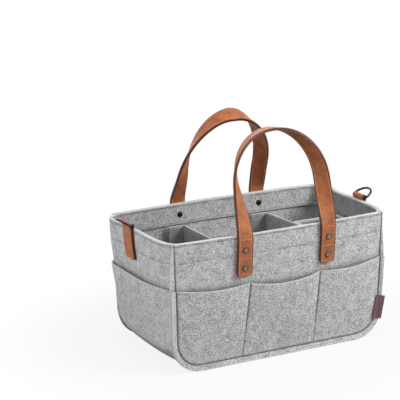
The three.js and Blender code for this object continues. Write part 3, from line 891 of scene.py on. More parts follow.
@dataclass(frozen=True)
class BoxForm:
    """Sizes of the sewn felt box and the surfaces that follow from them."""

    rim_height: float = node_corners("front_panel")[1][2]
    rim_width: float = 356.0
    base_width: float = 343.0
    rim_depth: float = 200.0
    base_depth: float = 187.0
    corner_radius: float = 40.0
    side_bulge: float = 13.0
    side_belly: float = 3.0
    back_fill: float = 8.0
    back_fill_start: float = 0.36
    back_fill_run: float = 0.45
    base_sag: float = 5.5
    base_squareness: float = 2.0
    rim_squareness: float = 6.0
    wall_bow: float = 6.0
    ripples: Ripples = Ripples()
    felt: float = 3.0
    gap: float = 0.3
    side_allowance: float = 7.0
    back_allowance: float = 2.0
    bottom_allowance: float = 9.0
    rim_allowance: float = 1.4
    trim_length: float = 72.0
    hem_height: float = 33.0
    hem_bend: float = 8.0
    hem_turn: float = 0.9
    ridge_lean: float = 0.30
    groove_depth: float = 1.3
    groove_width: float = 1.1
    # Painted shade along seams, on the short walls' inner faces and above the pocket mouths, and a weaker
    # painted highlight on the mouths' raw edges.
    crease_width: float = 1.0
    crease_shift: float = 0.2
    inner_shade: float = 0.56
    mouth_shade: float = 0.42
    mouth_shade_width: float = 3.6
    mouth_cut: float = 0.40
    rim_stitch: float = 3.7
    hem_stitch: float = 3.5
    stitch_pitch: float = 4.0
    stitch_gap_shade: float = 0.16
    # Width of the painted highlight along raw edges.
    cut_depth: float = 0.5
    edge_rounding: float = 0.9
    seam_shares: tuple[float, ...] = (
        (0, 0.03, 0.08, 0.16, 0.28, 0.42, 0.58, 0.74, 0.84, 0.92, 1.0, 1.08, 1.16)
    )

    @property
    def layer(self) -> float:
        """One felt and the gap under it."""
        return self.gap + self.felt

    @property
    def corner_z(self) -> float:
        """Height of the bottom corners' centre."""
        return self.bottom_allowance + self.corner_radius

    @property
    def corner_x(self) -> float:
        """Distance of the bottom corners' centre from the middle."""
        return float(self.half_width(self.corner_z)) - self.corner_radius

    @property
    def hem_foot(self) -> float:
        """Height of the facing's lower edge."""
        return self.rim_height - self.hem_height

    @property
    def rim_row(self) -> StitchRow:
        """The row of stitches under the rim."""
        return StitchRow(self.rim_height - self.rim_stitch, 0.60, 1.3, 0.95, 0.75)

    @property
    def hem_row(self) -> StitchRow:
        """The row of stitches that holds the facing's foot."""
        return StitchRow(self.hem_foot + self.hem_stitch, 0.30, 1.4, 0.42, 0.7)

    @property
    def low_heights(self) -> Rows:
        """Heights of the rows from the ground to the top of the corners' curve."""
        seam = self.bottom_allowance * np.array(self.seam_shares)
        arc = self.corner_z - self.corner_radius * np.sin(np.linspace(QUARTER, 0, 16)[2:])
        return np.concatenate([seam, arc])

    def half_width(self, z: Any) -> Any:
        """Half the width to the stitch line at a height."""
        return blend_of(self.base_width, self.rim_width, z / self.rim_height) / 2

    def wall_share(self, z: Any) -> Any:
        """A height as a share of the wall, from the floor to the rim."""
        return np.clip((z - self.bottom_allowance) / (self.rim_height - self.bottom_allowance), 0, 1)

    def fullness(self, z: Any) -> Any:
        """Share of the rim's swelling that is left at a height."""
        return np.sin(self.wall_share(z) * QUARTER)

    def flat_depth(self, z: Any) -> Any:
        """Half the depth at the seams."""
        return blend_of(self.base_depth, self.rim_depth, z / self.rim_height) / 2

    def face(self, side: Side, x: Any, z: Any) -> Any:
        """Distance of the long wall's outer face from the middle plane."""
        across = np.minimum(np.abs(x) / self.half_width(z), 1)
        bowed = self.flat_depth(z) + self.wall_bow * self.fullness(z) * (1 - across**2)
        return bowed + self.ripples.at(side, x, z) * (1 - across**4) * self.fullness(z)

    def side_depth(self, z: Any) -> Any:
        """Half the depth between the inner faces of the long walls."""
        return self.flat_depth(z) - self.felt - self.gap

    def side_swell(self, y: Any, z: Any) -> Any:
        """How far the short wall swells beyond its stitch lines."""
        across = np.minimum(np.abs(y) / self.side_depth(z), 1)
        power = blend_of(self.base_squareness, self.rim_squareness, (z / self.rim_height) ** 2)
        belly = self.side_belly * np.sin(self.wall_share(z) ** 2 * math.pi)
        even = (self.side_bulge * self.fullness(z) + belly) * (1 - across**power)
        behind = ease((np.where(np.asarray(y) > 0, across, 0) - self.back_fill_start) / self.back_fill_run)
        return even + self.back_fill * self.fullness(z) * behind * (1 - across**12)

    def end_face(self, y: Any, z: Any) -> Any:
        """Distance of the short wall's outer face from the middle plane."""
        return self.half_width(z) + self.side_swell(y, z)

    def sag(self, across: Any, down: Any) -> Any:
        """How far the strip hangs out of its seams, at a share across, where its face looks down."""
        return self.base_sag * np.abs(down) ** 0.8 * (1 - np.abs(across) ** 3)

    def trimmed(self, drop: Any) -> Any:
        """How much of the seams' full width is left at a distance below the rim, from 0 to 1."""
        return ease(drop / self.trim_length)

    def allowance(self, z: Any, side: Side = Side.FRONT) -> Any:
        """Width of the raw edge beyond the stitch line on the sides."""
        full = self.side_allowance if side is Side.FRONT else self.back_allowance
        return blend_of(min(self.rim_allowance, full), full, self.trimmed(self.rim_height - z))

    def beyond(self, x: Any, z: Any) -> Any:
        """Distance beyond the U-shaped stitch line: less than 0 on the wall, more than 0 on the raw edge."""
        x, z = np.broadcast_arrays(np.abs(np.asarray(x, float)), np.asarray(z, float))
        across = np.maximum(x - self.corner_x, 0)
        radial = np.hypot(across, np.minimum(z - self.corner_z, 0)) - self.corner_radius
        return np.where(z >= self.corner_z, x - self.half_width(z), radial)

    def lip(self, past: Any, z: Any) -> Any:
        """How far a raw edge leans out beyond the stitch line."""
        return self.ridge_lean * np.maximum(past, 0) * self.trimmed(self.rim_height - 2 - z)

    def seam_relief(self, x: Any, z: Any) -> Any:
        """How far the seam moves the wall out: a groove on the stitch line and a ridge beyond it."""
        past = self.beyond(x, z)
        depth = self.groove_depth * blend_of(0.5, 1, self.trimmed(self.rim_height - 2 - z))
        return self.lip(past, z) - depth * ridge(past, self.groove_width)

    def level_relief(self, z: Any) -> Any:
        """How far the rim's and the hem's stitch rows draw the wall in."""
        return -sum(row.pull * ridge(z - row.height, row.pull_width) for row in (self.rim_row, self.hem_row))

    def row_crease(self, along: Any, z: Any) -> Any:
        """Painted shade along the rim's and the hem's stitch rows, dashed along their length."""
        share = (1 + np.cos(along * 2 * math.pi / self.stitch_pitch)) / 2
        rows = sum(row.shade * ridge(z - row.height, row.shade_width) for row in (self.rim_row, self.hem_row))
        return rows * blend_of(self.stitch_gap_shade, 1, share)

    def seam_crease(self, past: Any) -> Any:
        """Painted shade along a sewn line, at a distance past it."""
        return ridge(past - self.crease_shift, self.crease_width)

    def mouth_gap(self, z: Any, mouth: Any) -> Any:
        """Painted shadow on a wall behind and just above a pocket's mouth."""
        return self.mouth_shade * ridge(np.maximum(z - mouth, 0), self.mouth_shade_width)

    def below_rim(self, z: Any) -> Any:
        """0 on the rim's edge and 1 a little below it."""
        return ease((self.rim_height - 1 - z) / 3)

    def end_shade(self, points: Rows, out: float) -> Rows:
        """Painted shade on the inner face of a short wall, below the rim."""
        x, y, z = points.T
        depth = self.end_face(y, z) + out - np.abs(x)
        return self.inner_shade * ease((depth - 0.6 * self.felt) / 0.6) * self.below_rim(z)

    def raw_edge(self, points: Rows) -> Rows:
        """How near places on a long wall are to its raw outer edge, where the painted highlight goes."""
        x, y, z = points.T
        side = np.where(y > 0, self.allowance(z, Side.BACK), self.allowance(z))
        spread = np.where(z < self.corner_z, self.bottom_allowance, side)
        return ease((self.beyond(x, z) - spread + 2 * self.cut_depth) / self.cut_depth)

    def top_edge(self, points: Rows, top: Any) -> Rows:
        """How near places are to a raw top edge at a height, where the painted highlight goes."""
        return ease((points[:, 2] - top + 2 * self.cut_depth) / self.cut_depth)

    def wall(self, wall: Wall, along: Any, z: Any, out: Any) -> Rows:
        """Points on a wall.

        Args:
            wall: Which wall.
            along: Places along it, on X for a long wall and on Y for a short one.
            z: Heights.
            out: Distance out from the wall's outer face.

        Returns:
            An array of points with x, y and z last.
        """
        along, z, out = np.broadcast_arrays(*(np.asarray(value, float) for value in (along, z, out)))
        if isinstance(wall, Side):
            return np.stack([along, wall.value * (self.face(wall, along, z) + out), z], axis=-1)
        return np.stack([wall.value * (self.end_face(along, z) + out), along, z], axis=-1)

    def floor(self, x: Any, y: Any) -> Any:
        """Top face of the felt floor, which curves up into the side walls."""
        radius = self.corner_radius - self.felt
        past = np.clip(np.abs(x) - self.corner_x, 0, radius)
        down = np.sqrt(radius**2 - past**2)
        across = np.minimum(np.abs(y) / self.side_depth(self.bottom_allowance), 1)
        return self.corner_z - down - self.sag(across, down / radius)

    def outline(self, heights: Rows, side: Side) -> tuple[Rows, Rows]:
        """Half widths of the wall's outline at heights.

        Args:
            heights: Heights from the ground up.
            side: Which long wall.

        Returns:
            Half width to the raw edge, and half width to the last inside column.
        """
        angles = np.linspace(QUARTER, 0, 200)
        full = float(self.allowance(self.corner_z, side))
        radius = self.corner_radius + blend_of(full, self.bottom_allowance, np.sin(angles) ** 2)
        low_z = np.maximum(self.corner_z - radius * np.sin(angles), 0)
        low = np.interp(heights, low_z, self.corner_x + radius * np.cos(angles))
        high = self.half_width(heights) + self.allowance(heights, side)
        edge = np.where(heights < self.corner_z, low, high)
        drop = np.clip(self.corner_z - heights, 0, self.corner_radius)
        seam_low = self.corner_x + np.sqrt(self.corner_radius**2 - drop**2)
        below = np.clip(1 - heights / self.bottom_allowance, 0, 1)
        seam = np.where(heights < self.corner_z, seam_low, self.half_width(heights))
        return edge, seam - self.bottom_allowance * below


@dataclass
class FeltBox:
    """The sewn box: two panels, one strip round the sides and base, the pockets and the facing."""

    shop: Workshop
    form: BoxForm = BoxForm()
    pocket_mouth: float = 123.0
    pocket_end_rise: float = 5.0
    front_seams: tuple[tuple[float, float], ...] = ((-66, -55), (58, 65))
    back_seams: tuple[tuple[float, float], ...] = ((-62, -62), (62, 62))
    pocket_swell: tuple[float, ...] = (5.5, 7.5, 5.5)
    pocket_sag: tuple[float, ...] = (1.5, 6.0, 2.0)
    pocket_roundness: float = 2.4
    seam_hollow: float = 1.2
    # Painted shade on the lines between the pockets.
    seam_shade: float = 0.8
    pucker: float = 0.30
    pucker_up: float = 0.42
    pucker_along: float = 0.1
    pucker_width: float = 7.0
    side_mouth: float = 128.0
    side_swell: float = 5.0
    side_roundness: float = 2.2
    side_tuck: float = 14.0
    # Painted shade at the strip's folds.
    fold_shade: float = 0.8
    fold_width: float = 1.2
    edge_shares: tuple[float, ...] = (0.07, 0.15, 0.28, 0.5, 0.75, 1.0)
    seam_columns: tuple[float, ...] = (0, 0.45, 0.9, 1.4, 2.0, 2.8, 4.0, 6.0)
    mouth_rows: tuple[float, ...] = (0, 0.9, 2.0, 3.4)
    shares: Rows = field(default_factory=lambda: crowded(41))

    def build(self) -> None:
        """Makes every felt piece of the box with its stitches."""
        for side in Side:
            self._panel(side)
            self._pocket(side)
        self._strip()
        for end in End:
            self._side_pocket(end)
        self._facing()
        self._stitches()

    def _felt(self, name: str, points: Rows, outward: Rule, extra: float = 0.0) -> Piece:
        """A felt sheet with its thickness, held at or above the ground.

        Args:
            name: Its name.
            points: Its outer face.
            outward: Gives a rough outward direction at points.
            extra: Thickness beyond the plain felt's.

        Returns:
            The new piece.
        """
        piece = laid_grid(name, points, outward)
        thickened(piece, self.form.felt + extra, -1, self.form.edge_rounding)
        for vertex in piece.data.vertices:
            vertex.co.z = max(vertex.co.z, 0.0)
        return piece

    def _heights(self, top: float, count: int, extra: Sequence[float] | Rows) -> Rows:
        """Heights of a wall's rows, close together round the corner and at stitch rows."""
        upper = np.linspace(self.form.corner_z, top, count)
        return np.unique(np.concatenate([self.form.low_heights, upper, extra]))

    def _raw_columns(self, inner: float, outer: float) -> Rows:
        """X of the columns beyond the seam in one row."""
        return inner + (outer - inner) * np.array(self.edge_shares)

    def _columns(self, edge: Rows, seam: Rows) -> Rows:
        """X of each column in each row, close together at the seams.

        Args:
            edge: Half width to the raw edge in each row.
            seam: Half width to the last inside column in each row.

        Returns:
            Rows by columns.
        """
        middle = np.linspace(-1, 1, 97)[1:-1]
        rows = []
        for outer, inner in zip(edge, seam):
            near = inner - np.array(self.seam_columns)
            half = np.concatenate([near[::-1], self._raw_columns(inner, outer)])
            rows.append(np.concatenate([-half[::-1], middle * near[-1], half]))
        return np.array(rows)

    def _panel(self, side: Side) -> None:
        """The flat wall panel, seen above its pockets and inside.

        Args:
            side: Which long wall.
        """
        form = self.form
        sewn = np.concatenate([form.rim_row.heights, form.hem_row.heights])
        heights = self._heights(form.rim_height, 48, sewn)
        x = self._columns(*form.outline(heights, side))
        z = np.broadcast_to(heights[:, None], x.shape)
        points = form.wall(side, x, z, form.seam_relief(x, z) + form.level_relief(z))
        piece = self._felt(f"{side.word}_felt_panel", points, lambda at: side.outward, 0.2)

        def crease(at: Rows) -> Rows:
            """Painted shade along the seam and the stitch rows, and above the pocket mouths."""
            x, _, z = at.T
            sewn = np.maximum(form.seam_crease(form.beyond(x, z)), form.row_crease(x, z))
            return np.maximum(sewn, form.mouth_gap(z, self._mouth_over(side, x)))

        def cut(at: Rows) -> Rows:
            """Painted highlight along the raw edges."""
            return np.maximum(form.raw_edge(at), form.top_edge(at, form.rim_height))

        marked(piece, crease=crease, cut=cut)
        self.shop.fit(piece, Finish.FELT, "root", f"{side.word}_panel")

    def _seam_x(self, side: Side, index: int, z: Any) -> Any:
        """X of a sewn line between two pockets at a height."""
        foot, top = (self.front_seams if side is Side.FRONT else self.back_seams)[index]
        return blend_of(foot, top, z / self.pocket_mouth)

    def _stops(self, side: Side, half: float, z: float) -> list[float]:
        """X of the pockets' ends in one row, from the left."""
        return [-half, float(self._seam_x(side, 0, z)), float(self._seam_x(side, 1, z)), half]

    def _mouth(self, x: Any, pocket: int, local: Any) -> Any:
        """Height of the pocket's mouth, which sags between its seams."""
        rise = np.maximum(np.abs(x) / self.form.half_width(self.pocket_mouth) * 3 - 2, 0)
        return self.pocket_mouth + self.pocket_end_rise * rise - self.pocket_sag[pocket] * (1 - local**2)

    def _mouth_over(self, side: Side, x: Rows) -> Rows:
        """Height of the pockets' mouths along a long wall."""
        stops = self._stops(side, float(self.form.half_width(self.pocket_mouth)), self.pocket_mouth)
        heights = np.full(np.shape(x), self.pocket_mouth + self.pocket_end_rise)
        for pocket, (left, right) in enumerate(zip(stops[:-1], stops[1:])):
            local = 2 * (x - left) / (right - left) - 1
            heights = np.where(np.abs(local) <= 1, self._mouth(x, pocket, local), heights)
        return heights

    def _pocket_surface(self, side: Side) -> Rows:
        """Outer face of a long wall's pocket layer.

        Args:
            side: Which long wall.

        Returns:
            Rows by columns of points.
        """
        form = self.form
        heights = self._heights(self.pocket_mouth, 34, self.pocket_mouth - np.array(self.mouth_rows))
        grid = []
        for z, outer, inner in zip(heights, *form.outline(heights, side)):
            above = max((z - form.corner_z) / (self.pocket_mouth - form.corner_z), 0)
            edge_z = z + above * self.pocket_end_rise
            raw = self._raw_columns(inner, outer)
            out = form.layer + form.seam_relief(raw, edge_z)
            left = form.wall(side, -raw[::-1], edge_z, out[::-1])
            right = form.wall(side, raw, edge_z, out)
            stops = self._stops(side, inner, z)
            fronts = [self._pocket_row(side, pocket, stops, z, above) for pocket in range(3)]
            grid.append(np.concatenate([left, *fronts, right]))
        return np.array(grid)

    def _pocket_row(self, side: Side, pocket: int, stops: list[float], level: float, above: float) -> Rows:
        """One row across the face of one pocket.

        Args:
            side: Which long wall.
            pocket: Which pocket, counted from the left.
            stops: X of the pockets' ends in this row.
            level: The row's height where the mouth doesn't sag or rise.
            above: The row's share of the way from the corner to the mouth.

        Returns:
            The row's points.
        """
        form = self.form
        local = crowded(35)[min(pocket, 1) :]
        left, right = stops[pocket : pocket + 2]
        x = blend_of(left, right, (local + 1) / 2)
        mouth = self._mouth(x, pocket, local)
        z = level + above * (mouth - self.pocket_mouth)
        foot = 2 * form.bottom_allowance
        lifted = np.clip((z - foot) / (mouth - foot), 0, 1)
        swell = self.pocket_swell[pocket] * (1 - np.abs(local) ** self.pocket_roundness)
        sewn = np.maximum(*(ridge(x - line, form.groove_width) for line in stops[1:3]))
        hollow = self.seam_hollow * sewn * min(above * 8, 1)
        near = ridge(np.minimum(np.abs(x - left), np.abs(x - right)), self.pucker_width)
        pucker = self.pucker * np.sin(z * self.pucker_up + x * self.pucker_along) * near * min(above * 4, 1)
        swell = swell * np.sin(lifted * QUARTER)
        return form.wall(side, x, z, form.layer + swell + form.seam_relief(x, z) - hollow + pucker)

    def _pocket(self, side: Side) -> None:
        """The pocket layer of a long wall, sewn into three pockets.

        Args:
            side: Which long wall.
        """
        form = self.form
        points = self._pocket_surface(side)
        mouth = points[-1]
        piece = self._felt(f"{side.word}_felt_pockets", points, lambda at: side.outward)

        def crease(at: Rows) -> Rows:
            """Painted shade along the seam and the lines between the pockets."""
            x, _, z = at.T
            lines = np.maximum(*(form.seam_crease(x - self._seam_x(side, index, z)) for index in range(2)))
            above = ease((z - form.bottom_allowance) / 4)
            return np.maximum(form.seam_crease(form.beyond(x, z)), self.seam_shade * lines * above)

        def cut(at: Rows) -> Rows:
            """Painted highlight along the raw edges, weaker along the mouth."""
            top = np.interp(at[:, 0], mouth[:, 0], mouth[:, 2])
            return np.maximum(form.raw_edge(at), form.mouth_cut * form.top_edge(at, top))

        marked(piece, crease=crease, cut=cut)
        self.shop.fit(piece, Finish.FELT, "root", f"{side.word}_pocket_panel")

    def _stations(self, top: float, end: float, wall_rows: int, base_rows: int) -> Rows:
        """Stations down the right wall, round the corner and in along the base.

        Args:
            top: Height of the strip's top edge.
            end: X where the strip ends on the base.
            wall_rows: Rows on the wall.
            base_rows: Rows on the base.

        Returns:
            One row each of x, z, outward x, outward z and the raw edge's width in front and behind.
        """
        form = self.form
        low = form.bottom_allowance
        special = top - np.array([1.0, 2.2, form.rim_stitch, form.rim_stitch + 2.2])
        walls = np.unique(np.concatenate([np.linspace(form.corner_z, top, wall_rows), special]))[::-1]
        rows = [(form.half_width(z), z, 1.0, 0.0, *(form.allowance(z, side) for side in Side)) for z in walls]
        for angle in np.linspace(0, QUARTER, 15)[1:]:
            c, s = math.cos(angle), math.sin(angle)
            spreads = [blend_of(full, low, s * s) for full in (form.side_allowance, form.back_allowance)]
            place = (form.corner_x + form.corner_radius * c, form.corner_z - form.corner_radius * s)
            rows.append((*place, c, -s, *spreads))
        rows.extend((x, low, 0.0, -1.0, low, low) for x in np.linspace(form.corner_x, end, base_rows)[1:])
        return np.array(rows)

    def _strip_surface(self, stations: Rows, out: float, extra: Callable[[Rows, float], Rows]) -> Rows:
        """Outer face of a strip whose edges turn out into the seams.

        Args:
            stations: Stations along the strip.
            out: Distance of the web's outer face from the seam path and of its edges from the panels.
            extra: Further swelling from the share across and the height.

        Returns:
            Points, stations by columns.
        """
        form = self.form
        fold_out = out + np.array([1.0, 0.3])
        grid = []
        for x, z, nx, nz, *edges in stations:
            half = float(form.side_depth(z)) - out - form.felt
            y = self.shares * half
            web = out + form.side_swell(y, z) + form.sag(self.shares, nz) + extra(self.shares, z)
            front, back = (out + np.array([1.0, 0.7, 0.4]) * max(edge - out, 1.5) for edge in edges)
            outs = np.concatenate([front, fold_out, web[1:-1], fold_out[::-1], back[::-1]])
            fold = half - np.array([0.05, 0.35])
            flanges = [half + form.lip(tips, z) for tips in (front, back)]
            ys = np.concatenate([-flanges[0], -fold, y[1:-1], fold[::-1], flanges[1][::-1]])
            grid.append(np.stack([x + nx * outs, ys, z + nz * outs], axis=-1))
        return np.array(grid)

    def _strip_piece(self, name: str, points: Rows, out: float, top: float, node: str) -> None:
        """Finishes a strip, marked with painted shade at its folds and stitch rows and painted highlight
        along its raw edges.

        Args:
            name: Its name.
            points: Its outer face.
            out: Distance of its outer face from the seam path and of its edges from the panels.
            top: Height of its top edge.
            node: The solid that it stands for.
        """
        form = self.form
        piece = self._felt(name, points, lambda at: at - np.array([0, 0, form.rim_height]))

        def edge(at: Rows) -> Rows:
            """Distance towards a seam from where the strip turns out into it."""
            return np.abs(at[:, 1]) - (form.side_depth(at[:, 2]) - out - form.felt)

        def crease(at: Rows) -> Rows:
            """Painted shade at the folds and stitch rows, on the inside and above the pocket's mouth."""
            x, y, z = at.T
            fold = ridge(np.hypot(edge(at) + 0.4, form.beyond(x, z) - out), self.fold_width)
            painted_shades = [self.fold_shade * fold, form.row_crease(y, z), form.end_shade(at, out)]
            if top > self.side_mouth:
                painted_shades.append(form.mouth_gap(z, self.side_mouth))
            return np.maximum.reduce(painted_shades)

        def cut(at: Rows) -> Rows:
            """Painted highlight along the raw edges."""
            return np.maximum(form.raw_edge(at) * ease(edge(at) + 1), form.top_edge(at, top))

        marked(piece, crease=crease, cut=cut)
        self.shop.fit(piece, Finish.FELT, "root", node)

    def _strip(self) -> None:
        """The strip that makes both side walls and the base."""
        top = self.form.rim_height
        right = self._stations(top, 0, 52, 22)
        stations = np.concatenate([right, right[:-1][::-1] * np.array([-1, 1, -1, 1, 1, 1])])
        points = self._strip_surface(stations, 0, lambda share, z: share * 0)
        self._strip_piece("felt_side_strip", points, 0, top, "side_and_base_strip")

    def _side_extra(self, share: Rows, z: float) -> Rows:
        """Further swelling of a side pocket beyond the wall."""
        lifted = min(max(z - self.form.corner_z, 0) / (self.side_mouth - self.form.corner_z), 1)
        return self.side_swell * (1 - np.abs(share) ** self.side_roundness) * math.sin(lifted * QUARTER)

    def _side_pocket(self, end: End) -> None:
        """The pocket on a short wall."""
        form = self.form
        stations = self._stations(self.side_mouth, form.corner_x - self.side_tuck, 30, 4)
        stations = stations * np.array([end.value, 1, end.value, 1, 1, 1])
        points = self._strip_surface(stations, form.layer, self._side_extra)
        name = f"{end.word}_felt_pocket"
        self._strip_piece(name, points, form.layer, self.side_mouth, f"{end.word}_pocket_panel")

    def _hem_loop(self, z: float, inset: float) -> tuple[Rows, Rows]:
        """The facing's path all round at a height.

        Args:
            z: The height.
            inset: Distance in from the walls' outer faces.

        Returns:
            The path with its first point repeated at the end, and its outward directions.
        """
        form = self.form
        half, flat = float(form.half_width(z)), float(form.flat_depth(z))
        x = np.linspace(form.hem_bend - half, half - form.hem_bend, 90)
        y = np.linspace(-1, 1, 48) * form.hem_turn * float(form.side_depth(z))
        rounds = [(Side.FRONT, x), (End.RIGHT, y), (Side.BACK, x[::-1]), (End.LEFT, y[::-1])]
        walls = [form.wall(wall, along, z, -inset) for wall, along in rounds]
        runs = []
        for index, (end, side) in enumerate([(1, -1), (1, 1), (-1, 1), (-1, -1)]):
            corner = np.array([end * (half - inset), side * (flat - inset), z])
            start, stop = walls[index][-1], walls[(index + 1) % 4][0]
            runs += [walls[index], corner_curve(start, corner, stop, 9)[:-1]]
        path = np.concatenate([*runs, walls[0][:1]])
        outward = np.cross(unit(np.gradient(path, axis=0)), np.array([0, 0, 1.0]))
        return path, outward

    def _facing(self) -> None:
        """The band sewn inside the rim."""
        form = self.form
        near = [row.height + np.array([-1.2, 0, 1.2]) for row in (form.rim_row, form.hem_row)]
        heights = np.unique(np.concatenate([np.linspace(form.hem_foot, form.rim_height, 10), *near]))
        insets = form.felt + 0.25 - form.level_relief(heights) * 0.4
        points = np.array([self._hem_loop(float(z), inset)[0] for z, inset in zip(heights, insets)])
        piece = laid_grid("felt_rim_facing", points, lambda at: at * np.array([1, 1, 0]), closed=True)
        thickened(piece, form.felt, -1, form.edge_rounding)

        def crease(at: Rows) -> Rows:
            """Painted shade along the stitch rows and at the ends."""
            x, y, z = at.T
            at_end = ease((np.abs(x) - form.half_width(z) + form.hem_bend) / 6)
            return np.maximum(form.row_crease(x + y, z), form.inner_shade * at_end * form.below_rim(z))

        def cut(at: Rows) -> Rows:
            """Painted highlight along the raw edges at the rim and at the foot."""
            foot = ease((form.hem_foot + 2.4 - at[:, 2]) / form.cut_depth)
            return np.maximum(form.top_edge(at, form.rim_height), foot)

        marked(piece, crease=crease, cut=cut)
        self.shop.fit(piece, Finish.FELT, "root", "rim_facing")

    def _stitches(self) -> None:
        """Every row of thread on the box."""
        form = self.form
        levels = (form.rim_row.height, form.hem_row.height)
        seams = []
        for z in levels:
            inner, outward = self._hem_loop(z, 2 * form.felt + 0.35)
            seams.append(Seam(inner, -outward))
        for side in Side:
            for z in levels:
                half = float(form.half_width(z)) - 3
                seams.append(self._wall_row(side, np.linspace(-half, half, 120), np.full(120, z), 0.0))
            seams.append(self._ridge_row(side))
            for index in range(2):
                z = np.linspace(form.bottom_allowance + 3, self.pocket_mouth - 2.5, 60)
                seams.append(self._wall_row(side, self._seam_x(side, index, z), z, form.layer - 0.9))
        for end in End:
            for z in levels:
                y = np.linspace(-1, 1, 80) * float(form.side_depth(z)) * 0.93
                seams.append(Seam.facing(form.wall(end, y, z, 0.0), end.outward))
        self.shop.fit(Needle().sew("felt_stitches", seams), Finish.FELT_THREAD, "root")

    def _wall_row(self, side: Side, x: Rows, z: Rows, out: Any) -> Seam:
        """A row of stitches on a long wall."""
        relief = self.form.seam_relief(x, z) + self.form.level_relief(z)
        return Seam.facing(self.form.wall(side, x, z, out + relief), side.outward)

    def _ridge_row(self, side: Side) -> Seam:
        """The row that sews a long wall to the strip, down one side, along the bottom and up.

        Args:
            side: Which long wall.

        Returns:
            The row of stitches.
        """
        form = self.form
        walls = np.linspace(form.rim_row.height - 2, form.corner_z, 60)
        angles = np.linspace(0, QUARTER, 24)[1:]
        x = np.concatenate([form.half_width(walls), form.corner_x + form.corner_radius * np.cos(angles)])
        z = np.concatenate([walls, form.corner_z - form.corner_radius * np.sin(angles)])
        flat = np.linspace(form.corner_x, -form.corner_x, 80)[1:-1]
        x = np.concatenate([x, flat, -x[::-1]])
        z = np.concatenate([z, np.full_like(flat, form.bottom_allowance), z[::-1]])
        layer = np.where(z < self.pocket_mouth + self.pocket_end_rise, form.layer, 0.0)
        path = form.wall(side, x, z, layer + form.seam_relief(x, z))
        return Seam.facing(path, side.outward)


# Dividers and the box insert


